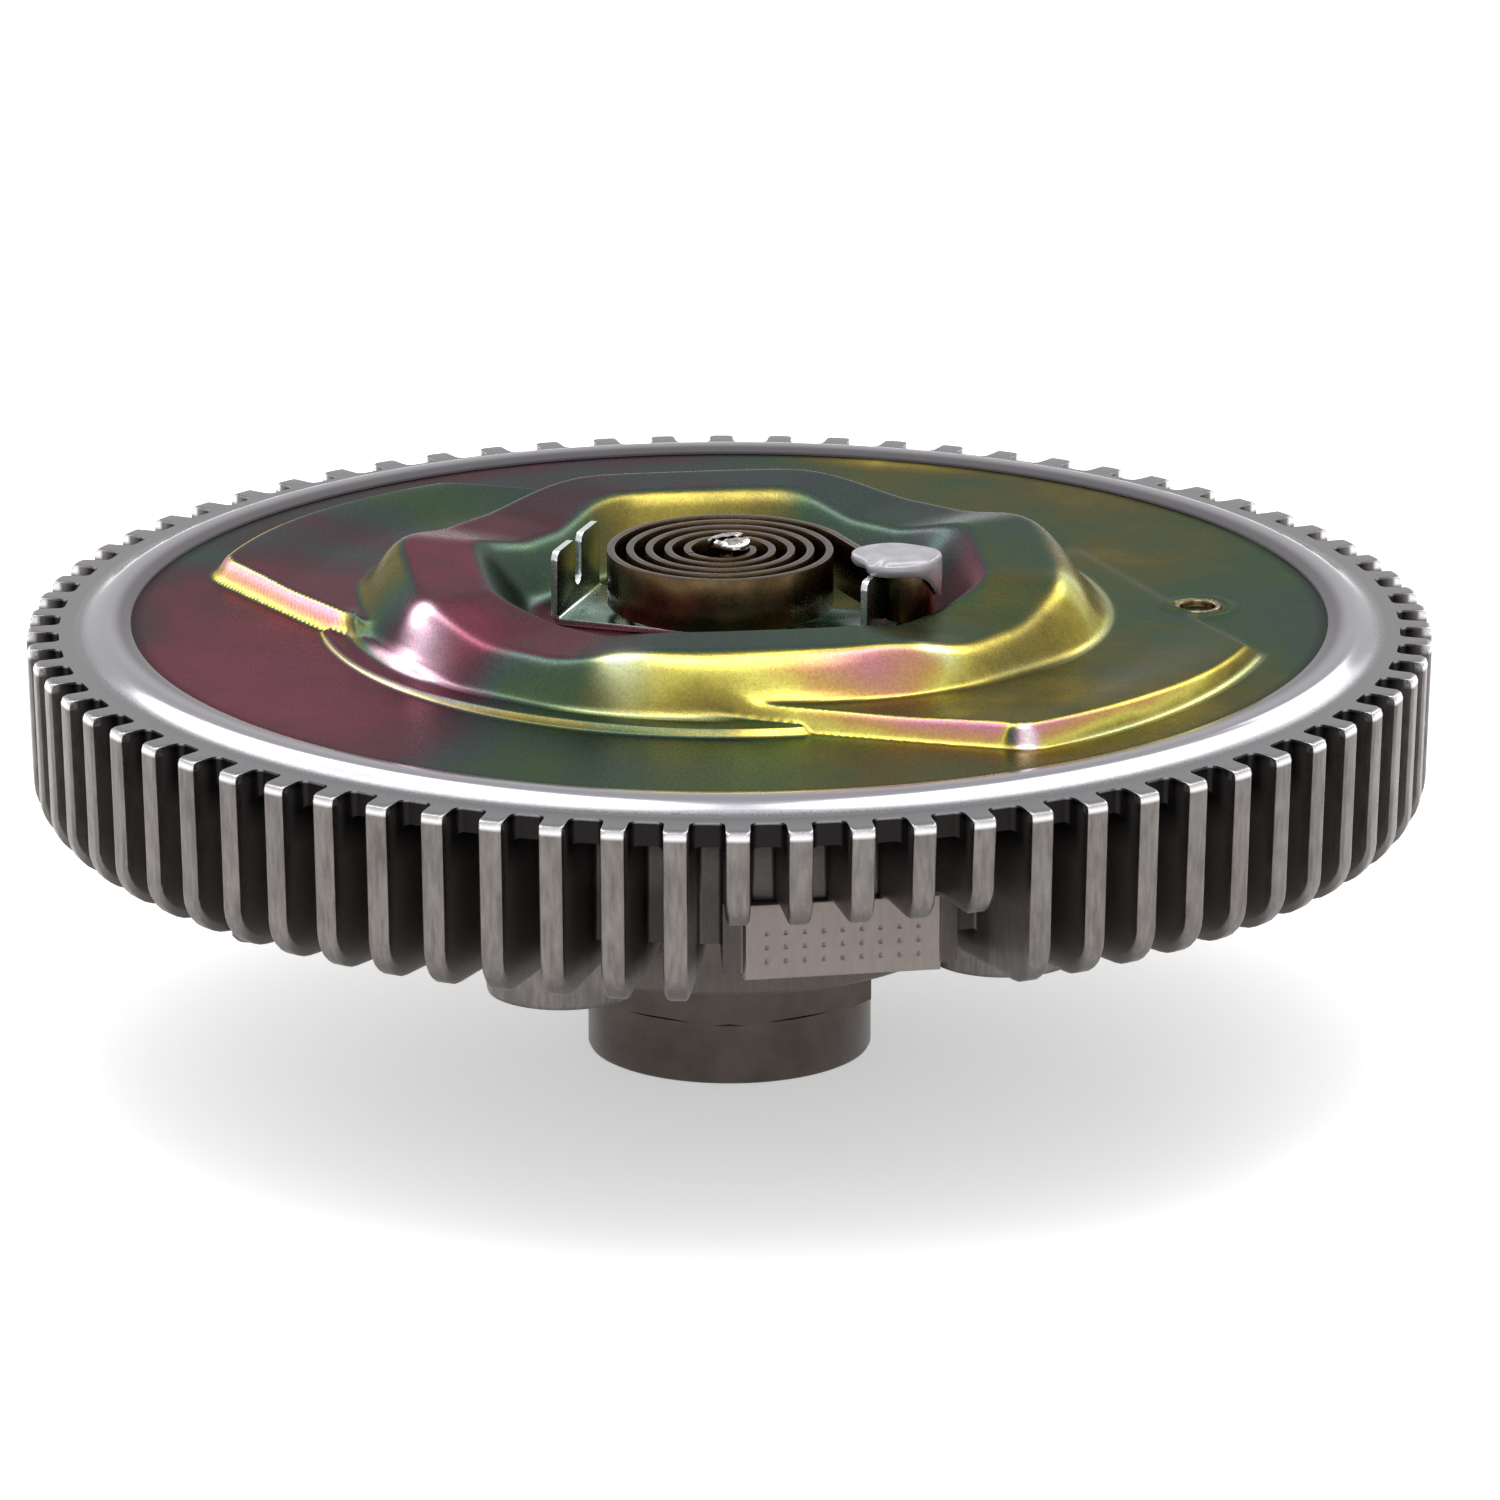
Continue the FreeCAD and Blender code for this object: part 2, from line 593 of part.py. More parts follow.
def dome(shrink, drop):
    """Ring dome: the outside of the sheet with no arguments, its inside with the sheet taken off."""
    foot_z = COVER_TOP - COVER_T
    crest_z = DOME_TOP - drop
    slope = (DOME_FOOT_R - DOME_CREST_R) / DOME_H
    extra = slope * (COVER_TOP - drop - foot_z)
    block = frustum(DOME_FOOT_R - shrink + extra, DOME_CREST_R - shrink, foot_z, crest_z)
    round_envelope = cone(DOME_ROUND_FOOT_R - shrink, DOME_ROUND_CREST_R - shrink, foot_z, crest_z)
    return block.common(round_envelope).cut(saddle_cut(drop))


def well(grow, floor_z):
    """Drafted octagonal well, or with growth the block that its wall is part of."""
    slope = (WELL_CREST_R - WELL_FLOOR_R) / (DOME_TOP - WELL_FLOOR_Z)
    top = DOME_TOP + 2.0
    low = WELL_FLOOR_R + grow + slope * (floor_z - WELL_FLOOR_Z)
    return frustum(low, low + slope * (top - floor_z), floor_z, top)


def wedge_outline(shrink, z):
    """Plan of a return channel: drafted edge, corner, outer arc, crease and the dome side."""
    radius = WEDGE_R - shrink
    start = polar(DOME_FOOT_R, WEDGE_EDGE_ANGLE)
    corner = polar(WEDGE_R, WEDGE_CORNER_ANGLE)
    along = (corner - start).normalize()
    inward = Vector(-along.y, along.x, 0)
    edge_from = start + inward * shrink
    reach = -edge_from.dot(along) + math.sqrt(radius ** 2 - edge_from.dot(inward) ** 2)
    edge_to = edge_from + along * reach
    arc_from = math.degrees(math.atan2(edge_to.y, edge_to.x)) % 360.0
    arc_mid = polar(radius, (arc_from + WEDGE_ARC_END) / 2.0)
    points = [edge_from, edge_to, (arc_mid, polar(radius, WEDGE_ARC_END)),
              polar(WEDGE_CREASE_OUT_R, WEDGE_CREASE_OUT_ANGLE),
              polar(WEDGE_CREASE_R, WEDGE_CREASE_ANGLE), polar(WELL_CREST_R + 4.0, WEDGE_CREASE_ANGLE)]
    lift = Vector(0, 0, z)
    return [tuple(p + lift for p in point) if isinstance(point, tuple) else point + lift
            for point in points]


def wedge(shrink, drop):
    """Return channel: a block on its plan, cut off by a plane that falls to the crease."""
    foot_z = COVER_TOP - COVER_T
    high_z = DOME_TOP - DOME_H / 3.0
    draft = WEDGE_DRAFT * (high_z - COVER_TOP) / WEDGE_H
    low = wire_of(wedge_outline(shrink, foot_z))
    high = wire_of(wedge_outline(shrink + draft, high_z))
    block = Part.makeLoft([low, high], True, True)
    outer = polar(WEDGE_CREASE_OUT_R, WEDGE_CREASE_OUT_ANGLE)
    inner = polar(WEDGE_CREASE_R, WEDGE_CREASE_ANGLE)
    along = (inner - outer).normalize()
    fall = Vector(WEDGE_GRADE * along.y, -WEDGE_GRADE * along.x, 1.0).normalize()
    plane_point = Vector(outer.x, outer.y, COVER_TOP - drop)
    reach = 2.0 * OUTER_R
    lid = Part.Plane(plane_point, fall).toShape(-reach, reach, -reach, reach)
    above = lid.extrude(Vector(0, 0, OUTER_R))
    block = block.cut(above)
    twin = block.mirror(ORIGIN, polar(1.0, WEDGE_MIRROR_ANGLE + 90.0))
    return [block, twin]


def terrace(shrink, drop):
    """Low concentric step between the two channels."""
    foot_z = COVER_TOP - COVER_T
    height = COVER_TOP + TERRACE_H - drop
    slab = Part.makeCylinder(TERRACE_R - shrink, height - foot_z, Vector(0, 0, foot_z), Z_AXIS,
                             TERRACE_TO - TERRACE_FROM)
    return spun(slab, TERRACE_FROM)


def front_cover():
    """Stamped sheet cover: the outer form less the same form inside the sheet."""
    disc = cylinder(COVER_R, COVER_UNDER, COVER_TOP)
    outside = disc.fuse([dome(0.0, 0.0), terrace(0.0, 0.0)] + wedge(0.0, 0.0))
    outside = outside.cut(well(0.0, WELL_FLOOR_Z))
    inside = dome(WALL_ACROSS, COVER_T).fuse([terrace(WALL_ACROSS, COVER_T)] + wedge(WALL_ACROSS, COVER_T))
    inside = inside.cut(well(WALL_ACROSS, COVER_UNDER - 1.0))
    sheet = outside.cut(inside)
    floor = frustum(WELL_FLOOR_R + WALL_ACROSS, WELL_FLOOR_R + WALL_ACROSS,
                    WELL_FLOOR_Z - COVER_T, COVER_UNDER)
    sheet = sheet.fuse(floor)
    bush_hole = cylinder(BUSH_R + PRESS_GAP, COVER_UNDER - 2.0, COVER_TOP + 1.0)
    fill_centre = polar(FILL_R, FILL_ANGLE)
    fill_hole = cylinder(FILL_HOLE_R, COVER_UNDER - 1.0, COVER_TOP + 1.0, fill_centre)
    fill_seat = cylinder(FILL_RIM_R + FILL_SEAT_GAP, COVER_TOP, COVER_TOP + 1.0, fill_centre)
    return one_solid(sheet.cut([bush_hole, fill_hole, fill_seat]))


def fill_plug():
    """Headed plug with a small socket, pressed into the filling hole."""
    centre = polar(FILL_R, FILL_ANGLE)
    shank = cylinder(FILL_HOLE_R - PRESS_GAP, COVER_UNDER - 0.2, COVER_TOP, centre)
    head = cone(FILL_RIM_R, FILL_RIM_R - FILL_RIM_T, COVER_TOP, COVER_TOP + FILL_RIM_T, centre)
    socket = cylinder(FILL_SOCKET_R, COVER_TOP - FILL_RIM_T, COVER_TOP + 1.0, centre)
    return one_solid(shank.fuse(head).cut(socket))


def cover_seal():
    """Square-cut ring in its groove under the cover."""
    return tube(SEAL_RING_R, SEAL_RING_R + SEAL_RING_W, COVER_UNDER - SEAL_RING_H, COVER_UNDER)


def both_channels(shape):
    """A shape at the first channel and its mirror at the second."""
    return [shape, shape.mirror(ORIGIN, polar(1.0, WEDGE_MIRROR_ANGLE + 90.0))]


def pump_plate():
    """Dished dividing plate with two gates and two pump-out holes."""
    plate = turned([
        (0, PLATE_Z), (PLATE_FLAT_R, PLATE_Z), (PLATE_FLANGE_IN_R, FLANGE_Z), (PLATE_FLANGE_R, FLANGE_Z),
        (PLATE_FLANGE_R, COVER_UNDER), (PLATE_FLANGE_IN_R - PLATE_T / 2.0, COVER_UNDER),
        (PLATE_FLAT_R - PLATE_T / 2.0, PLATE_TOP), (0, PLATE_TOP)])
    gate = cylinder(GATE_R, PLATE_Z - 1.0, PLATE_TOP + 1.0, Vector(GATE_PITCH_R, 0, 0))
    pump_hole = cylinder(PUMP_HOLE_R, PLATE_Z - 1.0, PLATE_TOP + 1.0,
                         polar(PUMP_HOLE_PITCH_R, PUMP_HOLE_ANGLE))
    rivet_holes = [cylinder(RIVET_R, PLATE_Z - 1.0, PLATE_TOP + 1.0, place) for place in rivet_places()]
    cuts = around(gate, 2, GATE_ANGLE) + both_channels(pump_hole)
    for hole in rivet_holes:
        cuts += both_channels(hole)
    return one_solid(plate.cut(cuts))


def rivet_places():
    """Plan places of the two rivets of the first wiper."""
    middle = (WIPER_INNER_R + WIPER_OUTER_R) / 2.0
    step = math.degrees(RIVET_OFFSET / middle)
    return [polar(middle, WIPER_ANGLE + side * step) for side in (-1.0, 1.0)]


def pump_wipers():
    """Two dams in the gap around the rotor, under the pump plate."""
    half = math.degrees(WIPER_SPAN / 2.0 / WIPER_OUTER_R)
    low = PLATE_Z - WIPER_H
    inner = [polar(WIPER_INNER_R, WIPER_ANGLE + a, low) for a in (half, 0.0, -half)]
    outer = [polar(WIPER_OUTER_R, WIPER_ANGLE + a, low) for a in (-half, 0.0, half)]
    block = prism([outer[0], (outer[1], outer[2]), inner[0], (inner[1], inner[2])], WIPER_H)
    holes = [cylinder(RIVET_R, PLATE_Z - RIVET_DEPTH, PLATE_Z + 1.0, place) for place in rivet_places()]
    return Part.makeCompound(both_channels(one_solid(block.cut(holes))))


def wiper_rivets():
    """Round-headed rivets that hold the wipers."""
    rivets = []
    for place in rivet_places():
        shank = cylinder(RIVET_R, PLATE_Z - RIVET_DEPTH, PLATE_TOP, place)
        head = cone(RIVET_HEAD_R, RIVET_HEAD_R * ARC_CUT, PLATE_TOP, PLATE_TOP + RIVET_HEAD_H, place)
        rivets += both_channels(one_solid(shank.fuse(head)))
    return Part.makeCompound(rivets)


def rotor():
    """Aluminium rotor: boss on the shaft, disc, and lands below that run between the housing's."""
    disc = turned([
        (ROTOR_SEAT_R + PRESS_GAP, BEARING_TOP), (ROTOR_BOSS_R, BEARING_TOP), (ROTOR_BOSS_R, ROTOR_DISC_Z),
        (ROTOR_R, ROTOR_DISC_Z), (ROTOR_R, ROTOR_TOP), (ROTOR_SEAT_R + PRESS_GAP, ROTOR_TOP)])
    lands = []
    for i in range(LAND_COUNT):
        middle = LAND_FIRST_R + LAND_PITCH * i
        lands.append(tube(middle - LAND_W / 2.0, middle + LAND_W / 2.0,
                          CHAMBER_Z + LAND_END_GAP, ROTOR_DISC_Z + 1.0))
    hole = cylinder(ROTOR_HOLE_R, ROTOR_DISC_Z - 1.0, ROTOR_TOP + 1.0, Vector(ROTOR_HOLE_PITCH_R, 0, 0))
    return one_solid(disc.fuse(lands).cut(around(hole, ROTOR_HOLE_COUNT)))


def valve_shaft():
    """Stepped pin: stud for the arm, bearing length with an O-ring groove, slotted neck for the coil."""
    groove_low = ORING_Z - ORING_GROOVE_H / 2.0
    groove_high = ORING_Z + ORING_GROOVE_H / 2.0
    pin = turned([
        (0, ARM_Z - ARM_STUD_BELOW), (ARM_STUD_R, ARM_Z - ARM_STUD_BELOW), (ARM_STUD_R, ARM_TOP),
        (VALVE_R, ARM_TOP), (VALVE_R, groove_low), (ORING_GROOVE_R, groove_low),
        (ORING_GROOVE_R, groove_high), (VALVE_R, groove_high), (VALVE_R, VALVE_NECK_Z),
        (VALVE_NECK_R, VALVE_NECK_Z), (VALVE_NECK_R, VALVE_TOP - VALVE_TOP_EDGE),
        (VALVE_NECK_R - VALVE_TOP_EDGE, VALVE_TOP), (0, VALVE_TOP)])
    slot = Part.makeBox(4.0 * VALVE_R, VALVE_SLOT_W, VALVE_TOP - VALVE_SLOT_Z + 1.0,
                        Vector(-2.0 * VALVE_R, -VALVE_SLOT_W / 2.0, VALVE_SLOT_Z))
    return one_solid(pin.cut(spun(slot, coil_leave_angle())))


def valve_arm():
    """Two-ended sheet arm that covers the gates, staked on the valve shaft's stud."""
    blade = Part.makeBox(2.0 * ARM_REACH, ARM_W, ARM_T, Vector(-ARM_REACH, -ARM_W / 2.0, ARM_Z))
    ends = cylinder(ARM_REACH, ARM_Z, ARM_TOP)
    arm = blade.common(ends).fuse(cylinder(ARM_HUB_R, ARM_Z, ARM_TOP))
    return spun(one_solid(arm.cut(cylinder(ARM_STUD_R, ARM_Z - 1.0, ARM_TOP + 1.0))), GATE_ANGLE)


def valve_shaft_o_ring():
    """O-ring in the valve shaft's groove."""
    middle = ORING_GROOVE_R + ORING_SECTION_R + 0.01
    return Part.makeTorus(middle, ORING_SECTION_R, Vector(0, 0, ORING_Z), Z_AXIS)


def valve_bushing():
    """Flanged bush through the bracket and the well's floor."""
    bore = VALVE_R + VALVE_FIT
    return turned([
        (bore, BUSH_Z), (BUSH_R, BUSH_Z), (BUSH_R, BRACKET_TOP), (BUSH_FLANGE_R, BRACKET_TOP),
        (BUSH_FLANGE_R, BRACKET_TOP + BUSH_FLANGE_T), (bore, BRACKET_TOP + BUSH_FLANGE_T)])


def lug():
    """Forked upright lug on the +X side, with round prong tips and a round-bottomed slot."""
    outer = LUG_W / 2.0
    inner = LUG_SLOT_W / 2.0
    tip_r = (outer - inner) / 2.0
    tip_z = LUG_TOP - tip_r
    slot_z = LUG_SLOT_Z + inner
    x = LUG_R - BRACKET_T / 2.0

    def at(y, z):
        return Vector(x, y, z)

    middle = (outer + inner) / 2.0
    outline = [at(-outer, BRACKET_Z), at(-outer, tip_z), (at(-middle, LUG_TOP), at(-inner, tip_z)),
               at(-inner, slot_z), (at(0, LUG_SLOT_Z), at(inner, slot_z)), at(inner, tip_z),
               (at(middle, LUG_TOP), at(outer, tip_z)), at(outer, BRACKET_Z)]
    return Part.Face(wire_of(outline)).extrude(Vector(BRACKET_T, 0, 0))


def coil_bracket():
    """Strap bent up into two forked lugs, on the floor of the well."""
    reach = LUG_R + BRACKET_T / 2.0
    strap = Part.makeBox(2.0 * reach, LUG_W, BRACKET_T, Vector(-reach, -LUG_W / 2.0, BRACKET_Z))
    bracket = one_solid(strap.fuse(around(lug(), 2)))
    bends = [edge for edge in bracket.Edges
             if abs(edge.BoundBox.ZMin - BRACKET_Z) < 1e-6 and abs(edge.BoundBox.ZMax - BRACKET_Z) < 1e-6
             and edge.BoundBox.XLength < 1e-6]
    bracket = bracket.makeFillet(min(LUG_BEND_R, 0.9 * BRACKET_T), bends)
    return spun(one_solid(bracket.cut(cylinder(BUSH_R + PRESS_GAP, 0.0, BRACKET_TOP + 1.0))), BRACKET_ANGLE)


def coil_leave_angle():
    """Angle at which the strip leaves the coil, straight towards the slot of the right lug."""
    strip_r = COIL_R - STRIP_T / 2.0
    return BRACKET_ANGLE + 180.0 + math.degrees(math.acos(strip_r / LUG_R))


def coil_arcs():
    """Half-turn arcs of the strip's middle line, from the outer end inwards."""
    arcs = []
    centre = ORIGIN
    radius = COIL_R - STRIP_T / 2.0
    side = coil_leave_angle()
    step = COIL_PITCH / 2.0
    for _ in range(COIL_HALF_TURNS):
        arcs.append((centre, radius, side))
        centre = centre + polar(step, side + 180.0)
        radius -= step
        side += 180.0
    return arcs


def arc_point(arc, offset, turn):
    """Point beside an arc of the coil, at an offset from its middle line and a turn from its start."""
    return arc[0] + polar(arc[1] + offset, arc[2] + turn)


def bimetal_coil():
    """Spiral strip with a tab in the shaft's slot, a tail through the lug's slot and a hook."""
    half_t = STRIP_T / 2.0
    arcs = coil_arcs()
    leave = coil_leave_angle()
    heading = leave - 90.0
    hook_from = polar(LUG_R, BRACKET_ANGLE + 180.0) + polar(HOOK_LEAD, heading)
    hook_centre = hook_from + polar(HOOK_R, leave)

    def hook_point(offset, turn):
        return hook_centre + polar(HOOK_R + offset, leave + 180.0 + turn)

    path = [hook_point(-half_t, 0.0), arc_point(arcs[0], half_t, 0.0)]
    for arc in arcs:
        path.append((arc_point(arc, half_t, 90.0), arc_point(arc, half_t, 180.0)))
    last = arcs[-1]
    end = last[2] + 180.0
    across = polar(half_t, end + 90.0)
    tab_turn = 180.0 - math.degrees(math.asin(half_t / (last[1] - half_t)))
    path.append(arc_point(last, half_t, 180.0) + across)
    path.append(polar(-TAB_REACH, end) + across)
    path.append(polar(-TAB_REACH, end) - across)
    path.append(arc_point(last, -half_t, tab_turn))
    for arc in arcs[::-1]:
        path.append((arc_point(arc, -half_t, 90.0), arc_point(arc, -half_t, 0.0)))
    path.append(hook_point(half_t, 0.0))
    path.append((hook_point(half_t, HOOK_SWEEP / 2.0), hook_point(half_t, HOOK_SWEEP)))
    path.append(hook_point(-half_t, HOOK_SWEEP))
    path.append((hook_point(-half_t, HOOK_SWEEP / 2.0), path[0]))
    lift = Vector(0, 0, COIL_BOTTOM)
    lifted = [tuple(p + lift for p in step) if isinstance(step, tuple) else step + lift for step in path]
    return prism(lifted, COIL_H)


def anchor_sealant():
    """Round dab on the hook and the lug's tips."""
    centre = polar(LUG_R + DAB_OUT, BRACKET_ANGLE + 180.0)
    low = cylinder(DAB_R, COIL_TOP, COIL_TOP + DAB_H - DAB_EDGE, centre)
    crown = cone(DAB_R, DAB_R - 2.0 * DAB_EDGE, COIL_TOP + DAB_H - DAB_EDGE, COIL_TOP + DAB_H, centre)
    return one_solid(low.fuse(crown))


def build():
    """Every node by name."""
    depth = SEAL_INSET + SEAL_T
    return {
        "hub_shaft": hub_shaft(),
        "rotor": rotor(),
        "bearing_inner_race": bearing_inner_race(),
        "bearing_outer_race": bearing_outer_race(),
        "bearing_balls": bearing_balls(),
        "bearing_cage": bearing_cage(),
        "bearing_seal_rear": bearing_seal(BEARING_Z + SEAL_INSET),
        "bearing_seal_front": bearing_seal(BEARING_TOP - depth),
        "bearing_retaining_ring": bearing_retaining_ring(),
        "housing": housing(),
        "front_cover": front_cover(),
        "fill_plug": fill_plug(),
        "cover_seal": cover_seal(),
        "pump_plate": pump_plate(),
        "pump_wipers": pump_wipers(),
        "wiper_rivets": wiper_rivets(),
        "valve_shaft": valve_shaft(),
        "valve_arm": valve_arm(),
        "valve_shaft_o_ring": valve_shaft_o_ring(),
        "valve_bushing": valve_bushing(),
        "coil_bracket": coil_bracket(),
        "bimetal_coil": bimetal_coil(),
        "anchor_sealant": anchor_sealant(),
    }


def main():
    os.makedirs("parts", exist_ok=True)
    for name, shape in build().items():
        shape.exportStep("parts/" + name + ".step")
        print(name, "solids", len(shape.Solids), "volume", round(shape.Volume, 1), "valid", shape.isValid())


main()
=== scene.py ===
"""Looks of a viscous fan clutch: cast finned housing, chromated cover, bimetal coil and steel hub."""
import logging
import math
from contextlib import contextmanager
from dataclasses import dataclass, field
from enum import Enum
from typing import Callable, Iterable, Iterator, Sequence

import bmesh
import bpy
import numpy as np
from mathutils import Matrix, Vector


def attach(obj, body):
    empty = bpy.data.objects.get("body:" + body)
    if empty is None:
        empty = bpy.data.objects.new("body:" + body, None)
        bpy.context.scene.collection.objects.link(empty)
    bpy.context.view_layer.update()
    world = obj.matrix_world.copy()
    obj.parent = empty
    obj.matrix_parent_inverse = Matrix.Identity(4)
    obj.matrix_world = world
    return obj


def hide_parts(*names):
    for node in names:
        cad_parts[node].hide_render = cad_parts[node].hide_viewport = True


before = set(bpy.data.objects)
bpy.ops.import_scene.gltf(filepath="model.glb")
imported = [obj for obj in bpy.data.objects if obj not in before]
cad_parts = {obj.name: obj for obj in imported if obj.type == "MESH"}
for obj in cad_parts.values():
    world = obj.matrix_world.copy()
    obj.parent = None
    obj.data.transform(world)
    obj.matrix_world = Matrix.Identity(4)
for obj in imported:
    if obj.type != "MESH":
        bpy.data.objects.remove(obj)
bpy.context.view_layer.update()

log = logging.getLogger("fan_clutch")

MM = 0.001
Array = np.ndarray
Piece = bpy.types.Object
Colour = tuple[float, float, float]
Point2 = tuple[float, float]
Point3 = tuple[float, float, float]
Profile = list[Point2]
Ends = tuple[float, float, float, float]
Stops = tuple[Point2, ...]
Spots = tuple[Ends, ...]
Value = bpy.types.NodeSocket | float


def srgb(red: float, green: float, blue: float) -> tuple[float, float, float, float]:
    """Linear values, with a full alpha, of a colour given as 0 to 255 on screen."""
    shares = [value / 255.0 for value in (red, green, blue)]
    return (*(share / 12.92 if share <= 0.04045 else ((share + 0.055) / 1.055) ** 2.4 for share in shares), 1.0)


def polar(radius: float, degrees: float) -> Array:
    """Point in the plan at a radius and an angle."""
    turn = math.radians(degrees)
    return np.array([radius * math.cos(turn), radius * math.sin(turn)])


def spun(x: Array, y: Array, degrees: float) -> tuple[Array, Array]:
    """Places in the plan, turned about the upright axis."""
    turn = math.radians(degrees)
    cos, sin = math.cos(turn), math.sin(turn)
    return x * cos - y * sin, x * sin + y * cos


def plan_polar(x: Array, y: Array) -> tuple[Array, Array]:
    """Angle, from 0 to 360 degrees, and radius of places in the plan."""
    return np.mod(np.degrees(np.arctan2(y, x)), 360.0), np.hypot(x, y)


def beside(x: Array, y: Array, start: Array, end: Array) -> Array:
    """Distance of places in the plan to the left of a line."""
    along = (end - start) / np.linalg.norm(end - start)
    return (x - start[0]) * -along[1] + (y - start[1]) * along[0]


def smooth_min(a: Array, b: Array | float, width: float) -> Array:
    """Lower of two heights, with a round of about the given width where they cross."""
    near = np.maximum(width - np.abs(a - b), 0.0) / width
    return np.minimum(a, b) - near * near * width / 4.0


def smooth_max(a: Array, b: Array | float, width: float) -> Array:
    """Higher of two heights, with a round of about the given width where they cross."""
    return -smooth_min(-a, -b, width)


def smooth_step(value: Array, low: float, high: float) -> Array:
    """Smooth rise from 0 at low to 1 at high."""
    share = np.clip((value - low) / (high - low), 0.0, 1.0)
    return share * share * (3.0 - 2.0 * share)


def window(value: Array, low: float, full: float, still: float, high: float) -> Array:
    """1 between full and still, and 0 below low and above high, with soft ends."""
    return smooth_step(value, low, full) * (1.0 - smooth_step(value, still, high))


def bell(value: Array, middle: float, width: float) -> Array:
    """Bell of height 1 round a middle value."""
    return np.exp(-((value - middle) / width) ** 2)


def around_circle(degrees: Array, stops: Sequence[Point2]) -> Array:
    """Blend values given at some angles round the whole circle.

    Args:
        degrees: angles at which the value is wanted.
        stops: pairs of angle and value, in rising order of angle.

    Returns:
        The value at each angle.
    """
    angles, values = np.array(stops).T
    return np.interp(np.mod(degrees, 360.0), angles, values, period=360.0)


def arc(centre: Point2, radius: float, start: float, sweep: float, steps: int) -> Profile:
    """Points along a round of a section, from an angle through a sweep in degrees."""
    turns = [math.radians(start + sweep * k / steps) for k in range(steps + 1)]
    return [(centre[0] + radius * math.cos(turn), centre[1] + radius * math.sin(turn)) for turn in turns]


def quads(rows: int, count: int, base: int = 0, closed: bool = True) -> list[list[int]]:
    """Faces between neighbouring rows of points.

    Args:
        rows: how many rows there are.
        count: points in each row.
        base: number of the first point.
        closed: join each row's last point to its first.

    Returns:
        The faces, as point numbers.
    """
    return [[base + i * count + j, base + (i + 1) * count + j, base + (i + 1) * count + (j + 1) % count,
             base + i * count + (j + 1) % count]
            for i in range(rows - 1) for j in range(count if closed else count - 1)]


